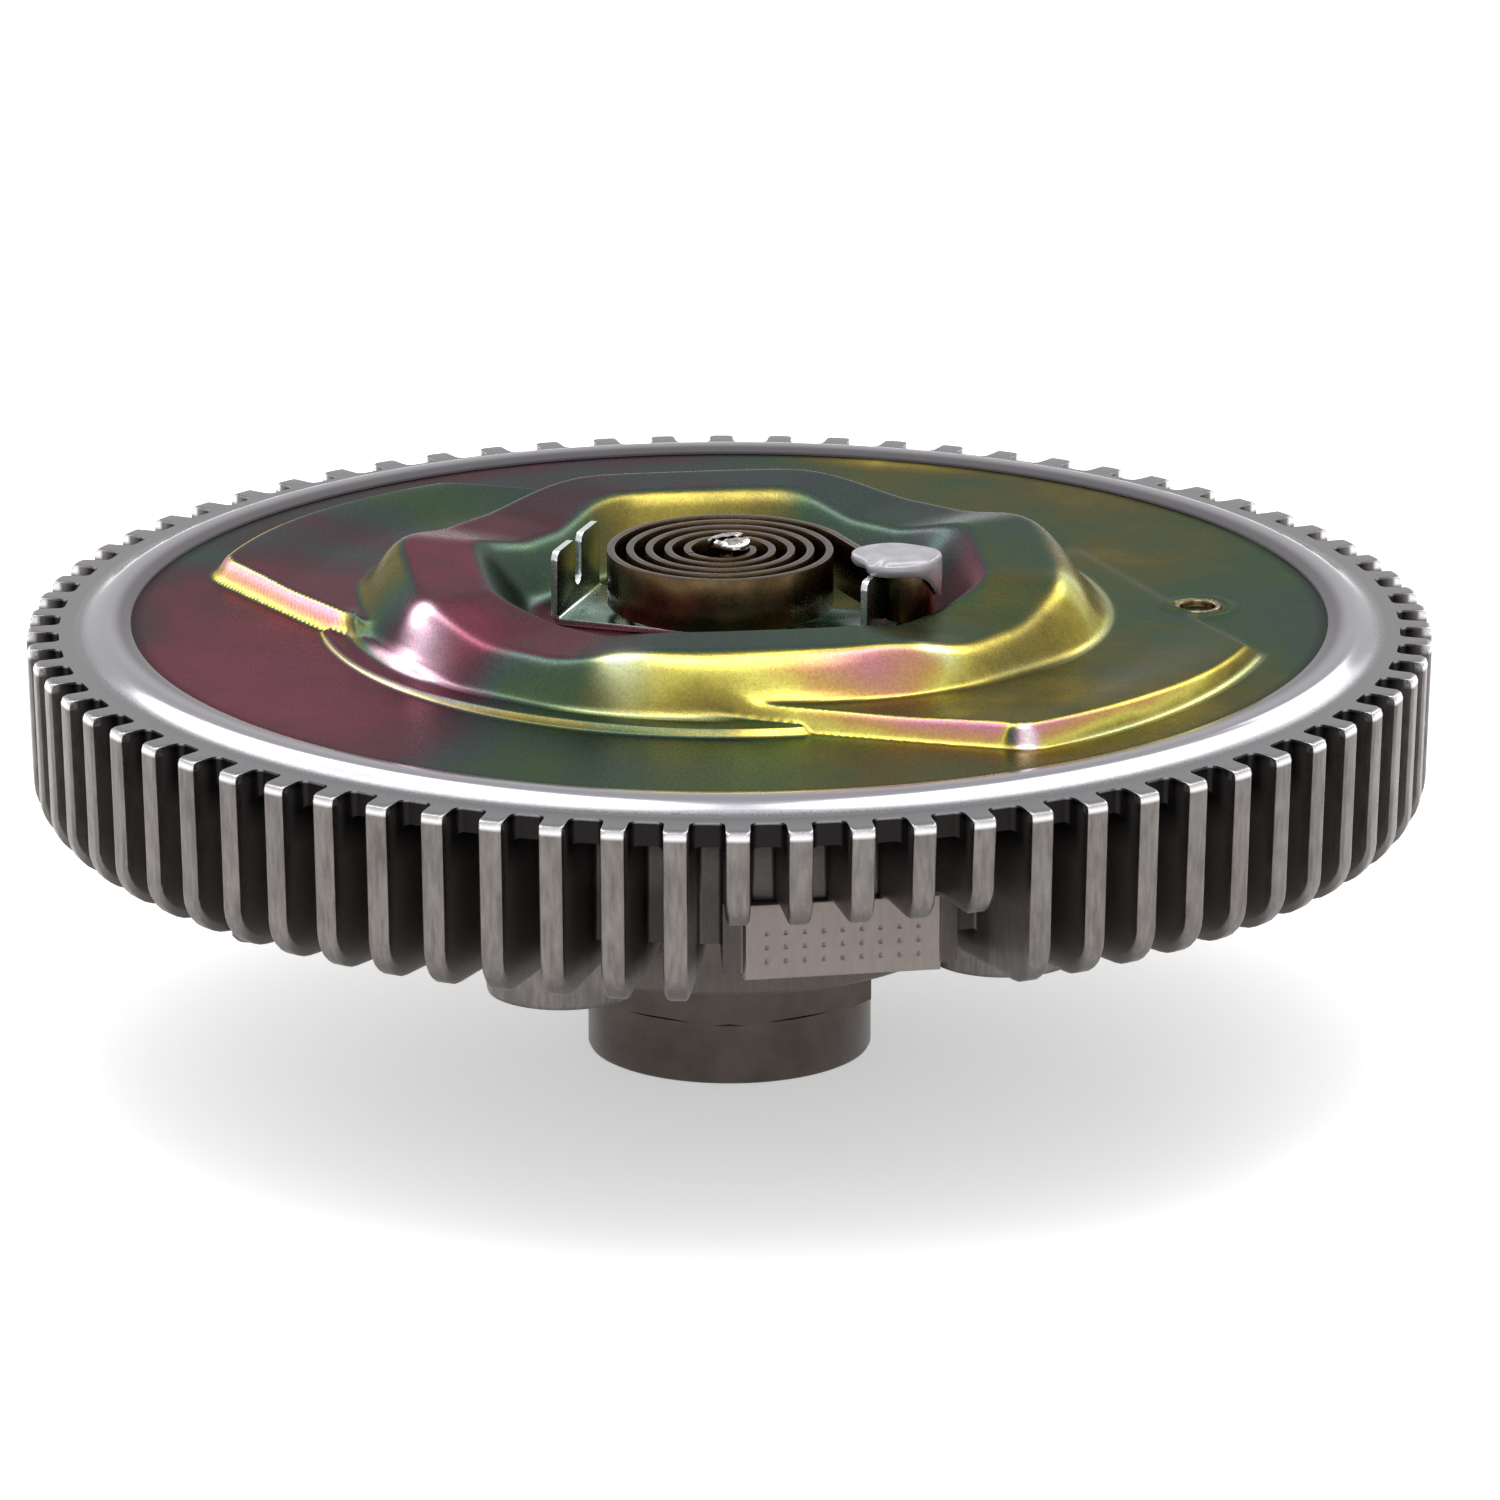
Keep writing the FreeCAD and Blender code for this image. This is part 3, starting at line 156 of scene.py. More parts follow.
class MeshTools:
    """Ways to turn plain point lists into finished objects of the scene."""

    @staticmethod
    def make(name: str, points: Iterable[Sequence[float]], faces: Iterable[Sequence[int]],
             sharp_degrees: float = 35.0) -> Piece:
        """Make an object from points in millimetres.

        Args:
            name: the piece's name.
            points: its points.
            faces: its faces, as point numbers.
            sharp_degrees: edges that turn by more than this stay sharp.

        Returns:
            The new object, linked to the scene.
        """
        mesh = bpy.data.meshes.new(name)
        mesh.from_pydata([tuple(c * MM for c in point) for point in points], [], [tuple(f) for f in faces])
        mesh.validate()
        mesh.update()
        MeshTools.face_outwards(mesh)
        piece = bpy.data.objects.new(name, mesh)
        bpy.context.scene.collection.objects.link(piece)
        MeshTools.shade(piece, sharp_degrees)
        return piece

    @staticmethod
    @contextmanager
    def opened(mesh: bpy.types.Mesh) -> Iterator[bmesh.types.BMesh]:
        """Open a mesh for changes and write them back."""
        work = bmesh.new()
        work.from_mesh(mesh)
        yield work
        work.to_mesh(mesh)
        work.free()

    @staticmethod
    def face_outwards(mesh: bpy.types.Mesh) -> None:
        """Turn all faces of a closed mesh to the outside."""
        with MeshTools.opened(mesh) as work:
            bmesh.ops.recalc_face_normals(work, faces=work.faces)

    @staticmethod
    def shade(piece: Piece, sharp_degrees: float) -> None:
        """Shade smooth, apart from edges that turn by more than an angle."""
        piece.data.shade_smooth()
        piece.data.set_sharp_from_angle(angle=math.radians(sharp_degrees))

    @staticmethod
    def lathe(name: str, profile: Callable[[float], Profile], count: int, closed: bool = True,
              sharp_degrees: float = 35.0, centre: Sequence[float] = (0.0, 0.0)) -> Piece:
        """Turn a profile about an upright axis; the profile may change with the angle.

        Args:
            name: the piece's name.
            profile: gives (radius, height) points for an angle in degrees.
            count: steps round the circle.
            closed: join the profile's last point to its first.
            sharp_degrees: edges that turn by more than this stay sharp.
            centre: the axis in the plan.

        Returns:
            The new object. Profile ends on the axis become one point each.
        """
        points: list[Point3] = []
        rows: list[list[int]] = []
        poles: dict[int, int] = {}
        for step in range(count):
            angle = 360.0 * step / count
            row = []
            for index, (radius, height) in enumerate(profile(angle)):
                if radius < 1e-9:
                    if index not in poles:
                        poles[index] = len(points)
                        points.append((centre[0], centre[1], height))
                    row.append(poles[index])
                    continue
                x, y = polar(radius, angle)
                row.append(len(points))
                points.append((centre[0] + x, centre[1] + y, height))
            rows.append(row)
        faces = []
        length = len(rows[0])
        last = length if closed else length - 1
        for step in range(count):
            here, there = rows[step], rows[(step + 1) % count]
            for k in range(last):
                n = (k + 1) % length
                face = list(dict.fromkeys([here[k], there[k], there[n], here[n]]))
                if len(face) >= 3:
                    faces.append(face)
        return MeshTools.make(name, points, faces, sharp_degrees)

    @staticmethod
    def prism(name: str, outline: Sequence[Sequence[float]], low: float, high: float) -> Piece:
        """Upright block on a flat outline."""
        count = len(outline)
        points = [(x, y, low) for x, y in outline] + [(x, y, high) for x, y in outline]
        faces = [list(range(count)), list(range(count, 2 * count))]
        faces += [[k, (k + 1) % count, count + (k + 1) % count, count + k] for k in range(count)]
        return MeshTools.make(name, points, faces)

    @staticmethod
    def change(piece: Piece, kind: str, **settings: object) -> None:
        """Run one modifier on a piece and keep the result as its mesh."""
        step = piece.modifiers.new(kind, kind)
        for key, value in settings.items():
            setattr(step, key, value)
        graph = bpy.context.evaluated_depsgraph_get()
        graph.update()
        mesh = bpy.data.meshes.new_from_object(piece.evaluated_get(graph), depsgraph=graph)
        piece.modifiers.clear()
        piece.data = mesh

    @staticmethod
    def combine(piece: Piece, tool: Piece, operation: str) -> None:
        """Unite a piece with another body, or cut it away, and remove that body."""
        MeshTools.change(piece, "BOOLEAN", operation=operation, solver="EXACT", object=tool)
        bpy.data.objects.remove(tool)

    @staticmethod
    def merge(piece: Piece, distance: float = 0.002) -> None:
        """Merge points that lie on each other and drop faces without area."""
        with MeshTools.opened(piece.data) as work:
            bmesh.ops.remove_doubles(work, verts=work.verts, dist=distance * MM)
            bmesh.ops.dissolve_degenerate(work, edges=work.edges, dist=distance * MM / 2.0)


class Shading:
    """Small builder for the shader nodes of one material."""

    def __init__(self, name: str) -> None:
        """Start an empty material with a principled surface."""
        self.material = bpy.data.materials.new(name)
        self.material.use_nodes = True
        self.tree = self.material.node_tree
        self.tree.nodes.clear()
        output = self.add("OutputMaterial")
        self.surface = self.add("BsdfPrincipled")
        self.tree.links.new(self.surface.outputs[0], output.inputs["Surface"])
        self._place: bpy.types.NodeSocket | None = None

    def put(self, socket: bpy.types.NodeSocket, value: object) -> None:
        """Link a socket to another one, or set its own value; three parts are a colour on screen."""
        if isinstance(value, bpy.types.NodeSocket):
            self.tree.links.new(value, socket)
        elif socket.type == "RGBA" and len(value) == 3:
            socket.default_value = srgb(*value)
        else:
            socket.default_value = value

    def add(self, kind: str, inputs: dict | None = None, **settings: object) -> bpy.types.Node:
        """Add a node.

        Args:
            kind: the node's type, without the prefix that all of them share.
            inputs: values or output sockets for its inputs.
            settings: its own settings.

        Returns:
            The new node.
        """
        node = self.tree.nodes.new("ShaderNode" + kind)
        for key, value in settings.items():
            setattr(node, key, value)
        for key, value in (inputs or {}).items():
            self.put(node.inputs[key], value)
        return node

    def place(self) -> Value:
        """Place on the object, in metres."""
        if self._place is None:
            self._place = self.add("TexCoord").outputs["Object"]
        return self._place

    def noise(self, size_mm: float, detail: float = 3.0, rough: float = 0.55,
              stretch: Point3 = (1.0, 1.0, 1.0)) -> Value:
        """Cloudy pattern from 0 to 1 with features of a size in millimetres."""
        spot = self.add("Mapping", {"Vector": self.place(), "Scale": stretch})
        return self.add("TexNoise", {"Vector": spot.outputs[0], "Scale": 1.0 / (size_mm * MM),
                                               "Detail": detail, "Roughness": rough}).outputs["Fac"]

    def rings(self, value: Value) -> Value:
        """Pattern from 0 to 1 that changes with one value alone."""
        return self.add("TexNoise", {"W": value, "Scale": 1.0, "Detail": 2.0},
                        noise_dimensions="1D").outputs["Fac"]

    def math(self, operation: str, *values: Value) -> Value:
        """Sum, difference or other step on one or two values."""
        return self.add("Math", dict(enumerate(values)), operation=operation).outputs[0]

    def times(self, *values: Value) -> Value:
        """Product of two values or more."""
        product = values[0]
        for value in values[1:]:
            product = self.math("MULTIPLY", product, value)
        return product

    def plus(self, first: Value, second: Value) -> Value:
        """Sum of two values."""
        return self.math("ADD", first, second)

    def less(self, first: Value, second: Value) -> Value:
        """First value without the second."""
        return self.math("SUBTRACT", first, second)

    def rest(self, value: Value) -> Value:
        """What is left of 1."""
        return self.less(1.0, value)

    def span(self, value: Value, low: float, high: float, to_low: float = 0.0,
             to_high: float = 1.0, smooth: bool = False) -> Value:
        """Value mapped from one range to another and held inside it."""
        return self.add("MapRange", {"Value": value, "From Min": low, "From Max": high,
                                               "To Min": to_low, "To Max": to_high},
                        interpolation_type="SMOOTHSTEP" if smooth else "LINEAR").outputs[0]

    def fall(self, value: Value, low: float, high: float, smooth: bool = False) -> Value:
        """1 below a range, 0 above it."""
        return self.span(value, low, high, 1.0, 0.0, smooth)

    def mix(self, share: Value, first: object, second: object) -> Value:
        """Blend of two colours."""
        node = self.add("Mix", data_type="RGBA")
        for index, value in ((0, share), (6, first), (7, second)):
            self.put(node.inputs[index], value)
        return node.outputs[2]

    def ramp(self, value: Value, stops: Sequence[tuple[float, Colour]]) -> Value:
        """Colour read from a scale of stops."""
        node = self.add("ValToRGB", {"Fac": value})
        marks = node.color_ramp.elements
        for mark, (position, colour) in zip(marks, (stops[0], stops[-1])):
            mark.position, mark.color = position, srgb(*colour)
        for position, colour in stops[1:-1]:
            marks.new(position).color = srgb(*colour)
        return node.outputs["Color"]

    def axes(self) -> bpy.types.Node:
        """Place on the object split into X, Y and Z."""
        return self.add("SeparateXYZ", {0: self.place()})

    def radius(self) -> Value:
        """Distance from the upright axis, in millimetres."""
        parts = self.axes()
        squares = [self.math("MULTIPLY", parts.outputs[k], parts.outputs[k]) for k in (0, 1)]
        return self.times(self.math("SQRT", self.plus(*squares)), 1.0 / MM)

    def height(self) -> Value:
        """Height over the floor, in millimetres."""
        return self.times(self.axes().outputs[2], 1.0 / MM)

    def facing(self, direction: Sequence[float]) -> Value:
        """How much the surface faces along a direction of the object's own frame, from -1 to 1."""
        normal = self.add("TexCoord").outputs["Normal"]
        return self.add("VectorMath", {0: normal, 1: tuple(direction)},
                        operation="DOT_PRODUCT").outputs["Value"]

    def bump(self, height: object, strength: float, depth_mm: float,
             below: bpy.types.NodeSocket | None = None) -> Value:
        """Relief from a height pattern, on top of another relief if one is given."""
        inputs = {"Height": height, "Strength": strength, "Distance": depth_mm * MM}
        if below is not None:
            inputs["Normal"] = below
        return self.add("Bump", inputs).outputs[0]

    def finish(self, **inputs: object) -> bpy.types.Material:
        """Set the surface's sockets, words joined by _ standing for the sockets' names."""
        for key, value in inputs.items():
            self.put(self.surface.inputs[key.replace("_", " ")], value)
        return self.material


@dataclass(frozen=True)
class PlainMetal:
    """Metal with a fine grain and clouds of two tones."""

    name: str
    light: Colour
    dark: Colour
    rough: tuple[float, float] = (0.3, 0.45)
    cloud_mm: float = 9.0
    grain_mm: float = 0.35
    grain: float = 0.25
    grain_depth: float = 0.03
    turned_mm: float = 0.0

    def material(self) -> bpy.types.Material:
        """Build the finish; with a turned pitch it has fine rings about the upright axis."""
        sheet = Shading(self.name)
        cloud = sheet.noise(self.cloud_mm, detail=5.0)
        colour = sheet.mix(sheet.span(cloud, 0.35, 0.65), self.dark, self.light)
        grain = sheet.noise(self.grain_mm, detail=2.0)
        relief = sheet.bump(grain, self.grain, self.grain_depth)
        rough = sheet.span(grain, 0.3, 0.7, *self.rough)
        if self.turned_mm:
            rings = sheet.rings(sheet.times(sheet.radius(), 1.0 / self.turned_mm))
            relief = sheet.bump(rings, 0.35, 0.02, relief)
        return sheet.finish(Base_Color=colour, Metallic=1.0, Roughness=rough, Normal=relief)


@dataclass(frozen=True)
class CastAluminium:
    """Die-cast skin, with a turned rim face, a rolled and polished lip and a pad under the short fins; painted shade in
    the slots, on the rim face, on the lip's inner slope and under the short fins, a painted glint on the fins' top
    chamfer and a painted reflection on the pad.
    """

    name: str = "cast_aluminium"
    skin: Colour = (122, 117, 114)
    skin_dark: Colour = (95, 91, 88)
    # Painted highlight: a glint on the fins' top chamfer.
    chamfer: Colour = (214, 212, 213)
    turned: Colour = (132, 131, 134)
    polished: Colour = (166, 164, 170)
    # Painted shade deep in the slots between the fins.
    slot_shade: Colour = (92, 87, 84)
    rim_shade: Colour = (36, 33, 33)
    # Painted shade on the lip's inner slope, down to its joint with the cover.
    crimp_shade: Colour = (88, 84, 89)
    # Painted shade on the walls under the short fins, round the pad.
    relief_shade: Colour = (66, 61, 59)
    pilot: Colour = (88, 81, 77)
    # Painted reflection: the pad is painted lighter, as if it mirrored the bright front.
    pad: Colour = (132, 123, 118)
    face_z: float = 61.42
    slot_shade_r: tuple[float, float] = (95.4, 98.6)
    rim_r: tuple[float, float] = (95.4, 97.6)
    tip_r: float = 97.4
    root_r: float = 82.0
    lip_r: float = 91.6
    lip_inner_r: float = 84.4
    pad_angle: float = 280.75
    pad_half: float = 9.6
    relief_half: float = 14.0
    pad_r: float = 85.3
    pad_top: float = 47.0
    relief_shade_half: float = 25.0
    pilot_r: float = 32.4
    lip_rough: float = 0.14
    # How much the metal is dulled under the painted slot shade and the painted crimp shade.
    slot_shade_dull: float = 0.4
    crimp_shade_dull: float = 0.85

    def sector(self, sheet: Shading, radius: Value, half: float) -> Value:
        """1 within an angle on both sides of the pad's middle, and 0 elsewhere."""
        parts = sheet.axes()
        products = [sheet.times(parts.outputs[k], float(share) / MM)
                    for k, share in enumerate(polar(1.0, self.pad_angle))]
        cosine = sheet.math("DIVIDE", sheet.plus(*products), radius)
        edge = math.cos(math.radians(half))
        return sheet.span(cosine, edge - 0.0004, edge + 0.0004)

    def material(self) -> bpy.types.Material:
        """Build the finish from the place on the housing: skin, painted shade in the slots and on the rim face, painted
        chamfer glint, pad with a painted reflection, painted shade under the short fins, turned face, lip and painted
        shade on its inner slope.
        """
        sheet = Shading(self.name)
        times, span, fall, mix = sheet.times, sheet.span, sheet.fall, sheet.mix
        height, radius, face_z, root_r = sheet.height(), sheet.radius(), self.face_z, self.root_r
        tone = sheet.plus(times(sheet.noise(0.7, detail=4.0, stretch=(1.0, 1.0, 0.16)), 0.6),
                          times(sheet.noise(7.0, detail=5.0), 0.4))
        skin = mix(span(tone, 0.36, 0.62), self.skin_dark, self.skin)
        low = fall(height, self.pad_top, self.pad_top + 0.8)
        open_side = times(self.sector(sheet, radius, self.relief_half), low)
        outside = span(radius, root_r - 1.0, root_r)
        # Painted shade deep in the slots between the fins; depth is that shade's mask, weaker in the open sector by the
        # pad.
        depth = times(fall(radius, *self.slot_shade_r, smooth=True), outside, fall(height, face_z - 1.4, face_z - 0.5))
        skin = mix(times(depth, span(open_side, 0.0, 1.0, 1.0, 0.3)), skin, self.slot_shade)
        shade = times(fall(radius, *self.rim_r, smooth=True), fall(height, face_z - 0.3, face_z - 0.05),
                      span(height, face_z - 9.0, face_z - 4.5), outside)
        skin = mix(shade, skin, self.rim_shade)
        # Painted glint along the top chamfer of the fin tips.
        glint = times(span(radius, self.tip_r, self.tip_r + 0.5), span(height, face_z - 1.5, face_z - 1.0))
        skin = mix(glint, skin, self.chamfer)
        # Pad under the short fins painted lighter: a painted reflection of the bright front on its flat face.
        on_pad = times(self.sector(sheet, radius, self.pad_half), low, fall(radius, self.pad_r, self.pad_r + 0.3),
                       span(radius, root_r + 1.2, root_r + 1.6))
        skin = mix(times(on_pad, span(tone, 0.3, 0.7, 0.7, 1.0)), skin, self.pad)
        # Painted shade on the walls under the short fins, round the pad but not on it.
        relief_shade_mask = times(self.sector(sheet, radius, self.relief_shade_half), fall(radius, self.pad_r, self.pad_r + 1.6),
                     fall(height, self.pad_top, self.pad_top + 3.0), span(radius, root_r - 12.0, root_r - 4.0),
                     sheet.rest(on_pad), 0.75)
        skin = mix(relief_shade_mask, skin, self.relief_shade)
        skin = mix(span(radius, self.pilot_r, self.pilot_r + 3.0, 0.75, 0.0), skin, self.pilot)
        on_face = span(height, face_z - 0.3, face_z)
        rings = sheet.rings(times(radius, 1.6))
        colour = mix(on_face, skin, mix(span(rings, 0.3, 0.7, 0.82, 1.0), self.skin_dark, self.turned))
        lip = times(fall(radius, self.lip_r - 1.6, self.lip_r, smooth=True), on_face)
        colour = mix(lip, colour, self.polished)
        # Painted shade on the lip's inner slope, which faces away from the light, down to the dark joint with the
        # cover; the metal is dulled there too.
        crimp_shade = times(fall(radius, self.lip_inner_r + 1.0, self.lip_inner_r + 3.4, smooth=True), on_face)
        colour = mix(crimp_shade, colour, self.crimp_shade)
        grain = sheet.noise(0.45, detail=3.0)
        rough = sheet.less(span(grain, 0.3, 0.7, 0.3, 0.44), times(sheet.plus(on_face, glint), 0.08))
        rough = sheet.plus(times(rough, sheet.rest(lip)), times(lip, self.lip_rough))
        relief = sheet.bump(times(grain, sheet.rest(on_face)), 0.3, 0.05)
        relief = sheet.bump(times(rings, sheet.less(on_face, lip)), 0.06, 0.02, relief)
        # Duller metal under the painted slot shade and the painted crimp shade darkens them further.
        metal = sheet.less(sheet.rest(times(depth, self.slot_shade_dull)), times(crimp_shade, self.crimp_shade_dull))
        return sheet.finish(Base_Color=colour, Metallic=metal, Roughness=rough, Normal=relief,
                            Specular_IOR_Level=0.1)


@dataclass(frozen=True)
class ChromateFilm:
    """Yellow chromate on zinc: a thin film whose colour runs through a scale of interference hues, under painted
    highlights.
    """

    name: str = "chromated_steel"
    scale: tuple[tuple[float, Colour], ...] = (
        (0.00, (134, 72, 91)), (0.09, (119, 68, 80)), (0.18, (92, 69, 75)), (0.28, (74, 86, 85)),
        (0.38, (74, 94, 70)), (0.46, (98, 96, 60)), (0.54, (126, 114, 60)), (0.62, (166, 152, 72)),
        (0.70, (218, 208, 102)), (0.79, (204, 162, 96)), (0.90, (206, 144, 134)), (1.00, (200, 130, 156)))
    # Painted highlights: pale pink, pale lime and a white core.
    pink_highlight: Colour = (244, 206, 226)
    lime_highlight: Colour = (228, 236, 176)
    highlight_core: Colour = (255, 252, 246)
    edge_r: tuple[float, float] = (82.4, 84.2)
    edge_shade: float = 0.5

    def material(self) -> bpy.types.Material:
        """Build the finish; the mesh's own values carry the film's thickness and painted highlights."""
        sheet = Shading(self.name)
        # The second mesh value, light, carries painted highlights.
        film, light = (sheet.add("Attribute", attribute_name=name).outputs["Fac"]
                       for name in (ChromateMap.FILM, ChromateMap.PAINTED_HIGHLIGHT))
        broad = sheet.span(sheet.noise(26.0, detail=2.0), 0.3, 0.7, -0.06, 0.06)
        patchy = sheet.span(sheet.noise(5.0, detail=4.0, rough=0.6), 0.3, 0.7, -0.025, 0.025)
        colour = sheet.ramp(sheet.plus(film, sheet.plus(broad, patchy)), self.scale)
        # Painted highlights: pale pink above 0, pale lime below 0, white where strongest.
        colour = sheet.mix(sheet.span(light, 0.0, 1.0), colour, self.pink_highlight)
        colour = sheet.mix(sheet.fall(light, -1.0, 0.0), colour, self.lime_highlight)
        colour = sheet.mix(sheet.span(sheet.math("ABSOLUTE", light), 1.0, 2.0), colour, self.highlight_core)
        speck = sheet.span(sheet.noise(0.45, detail=2.0), 0.25, 0.75, 0.84, 1.14)
        speck = sheet.times(speck, sheet.span(sheet.radius(), *self.edge_r, 1.0, self.edge_shade))
        colour = sheet.add("VectorMath", {0: colour, 3: speck}, operation="SCALE").outputs[0]
        edge = sheet.mix(0.5, colour, (1.0, 1.0, 1.0, 1.0))
        grain = sheet.noise(0.4, detail=3.0)
        relief = sheet.bump(grain, 0.14, 0.03, sheet.bump(sheet.noise(7.0, detail=2.0), 0.12, 0.25))
        rough = sheet.span(grain, 0.3, 0.7, 0.24, 0.34)
        return sheet.finish(Base_Color=colour, Metallic=1.0, Roughness=rough, Normal=relief, Specular_Tint=edge)


@dataclass(frozen=True)
class CutSheet:
    """Sheet metal whose flat sides and cut edges differ, told apart by the way they face."""

    name: str
    side: Colour
    side_dark: Colour
    edge: Colour
    along: Point3
    flats: bool = True
    rough: tuple[float, float] = (0.2, 0.32)
    cloud_mm: float = 5.0
    foot_z: float = 0.0

    def material(self) -> bpy.types.Material:
        """Build the finish; along is the way that the flat sides face, or else the way the edges face."""
        sheet = Shading(self.name)
        cloud = sheet.noise(self.cloud_mm, detail=5.0)
        side = sheet.mix(sheet.span(cloud, 0.35, 0.65), self.side_dark, self.side)
        turned = sheet.math("ABSOLUTE", sheet.facing(self.along))
        if self.foot_z > 0.0:
            low = sheet.fall(sheet.height(), self.foot_z, self.foot_z + 0.3)
            upward = sheet.math("ABSOLUTE", sheet.facing((0.0, 0.0, 1.0)))
            turned = sheet.math("MAXIMUM", turned, sheet.times(upward, low))
        flat = sheet.span(turned, 0.75, 0.95) if self.flats else sheet.fall(turned, 0.35, 0.7)
        grain = sheet.noise(0.45, detail=2.0)
        return sheet.finish(Base_Color=sheet.mix(flat, self.edge, side), Metallic=1.0,
                            Roughness=sheet.span(grain, 0.3, 0.7, *self.rough), Normal=sheet.bump(grain, 0.14, 0.02))


@dataclass(frozen=True)
class Dull:
    """Rubber, plastic or sealant: no metal, with clouds of two tones and a soft relief."""

    name: str
    light: Colour
    dark: Colour
    rough: float = 0.5
    cloud_mm: float = 3.0
    relief_mm: float = 0.8
    relief: float = 0.3
    metal: float = 0.0

    def material(self) -> bpy.types.Material:
        """Build the finish."""
        sheet = Shading(self.name)
        cloud = sheet.noise(self.cloud_mm, detail=4.0)
        colour = sheet.mix(sheet.span(cloud, 0.3, 0.7), self.dark, self.light)
        relief = sheet.bump(sheet.noise(self.relief_mm, detail=3.0), self.relief, 0.08)
        return sheet.finish(Base_Color=colour, Metallic=self.metal, Roughness=self.rough, Normal=relief)


class Finish(Enum):
    """Every finish on the clutch, by what it covers."""

    CAST = CastAluminium()
    CHROMATE = ChromateFilm()
    HUB = PlainMetal("hub_steel", (96, 88, 84), (84, 77, 73), (0.3, 0.42), 6.0, 0.3, 0.2, 0.03, 0.35)
    STRIP = CutSheet("bimetal", (112, 92, 62), (80, 64, 46), (76, 64, 56), (0.0, 0.0, 1.0), flats=False,
                     rough=(0.22, 0.34))
    # On the zinc strap the near-white edge colour is a painted highlight along the cut edges.
    ZINC = CutSheet("zinc_steel", (126, 146, 134), (96, 118, 108), (226, 232, 230),
                    (math.cos(math.radians(161.0)), math.sin(math.radians(161.0)), 0.0), foot_z=63.8)
    STAKED = PlainMetal("bright_steel", (216, 210, 206), (128, 118, 110), (0.1, 0.2), 1.2, 0.5, 0.5, 0.1)
    PLUG = PlainMetal("chromated_plug", (150, 130, 96), (96, 82, 62), (0.16, 0.28), 1.5, 0.3, 0.2, 0.02)
    SEALANT = Dull("sealant", (184, 182, 186), (160, 158, 162), 0.4, 2.5, 1.6, 0.3, 0.5)
    BEARING = PlainMetal("bearing_steel", (150, 150, 152), (120, 120, 122), (0.16, 0.26), 8.0, 0.4, 0.1)
    BALL = PlainMetal("ball_steel", (176, 176, 178), (160, 160, 162), (0.06, 0.1), 8.0, 0.8, 0.05)
    ROTOR = PlainMetal("rotor_aluminium", (158, 158, 160), (128, 128, 130), (0.28, 0.4), 8.0, 0.4, 0.2)
    PLATE = PlainMetal("plate_steel", (140, 140, 138), (112, 112, 110), (0.25, 0.38), 8.0, 0.5, 0.15)
    SPRING = PlainMetal("spring_steel", (96, 96, 100), (70, 70, 74), (0.25, 0.35), 4.0, 0.4, 0.15)
    RIVET = PlainMetal("rivet_steel", (150, 148, 144), (118, 116, 112), (0.25, 0.35), 2.0, 0.3, 0.2)
    BUSH = PlainMetal("bush_bronze", (168, 124, 74), (130, 92, 54), (0.25, 0.38), 2.0, 0.3, 0.2)
    RUBBER = Dull("seal_rubber", (46, 44, 43), (34, 33, 32), 0.62, 4.0, 0.5, 0.25)
    WIPER = Dull("wiper_plastic", (196, 188, 168), (176, 168, 150), 0.5, 3.0, 0.6, 0.2)

    def dress(self, piece: Piece) -> None:
        """Give a piece this finish in its only material slot."""
        name = self.value.name
        material = bpy.data.materials.get("finish_" + name)
        if material is None:
            material = self.value.material()
            material.name = "finish_" + name
        piece.data.materials.clear()
        piece.data.materials.append(material)


def hand_over(piece: Piece, body: str, slot: str, finish: Finish, *nodes: str) -> None:
    """Dress a finished piece, fix it to its body and let it stand for the plain nodes.

    Args:
        piece: the piece.
        body: the body that it moves with.
        slot: the record's material slot; not used.
        finish: its finish.
        nodes: the nodes that it stands for.
    """
    finish.dress(piece)
    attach(piece, body)
    if nodes:
        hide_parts(*nodes)
    log.info("%s on %s: %d faces", piece.name, body, len(piece.data.polygons))


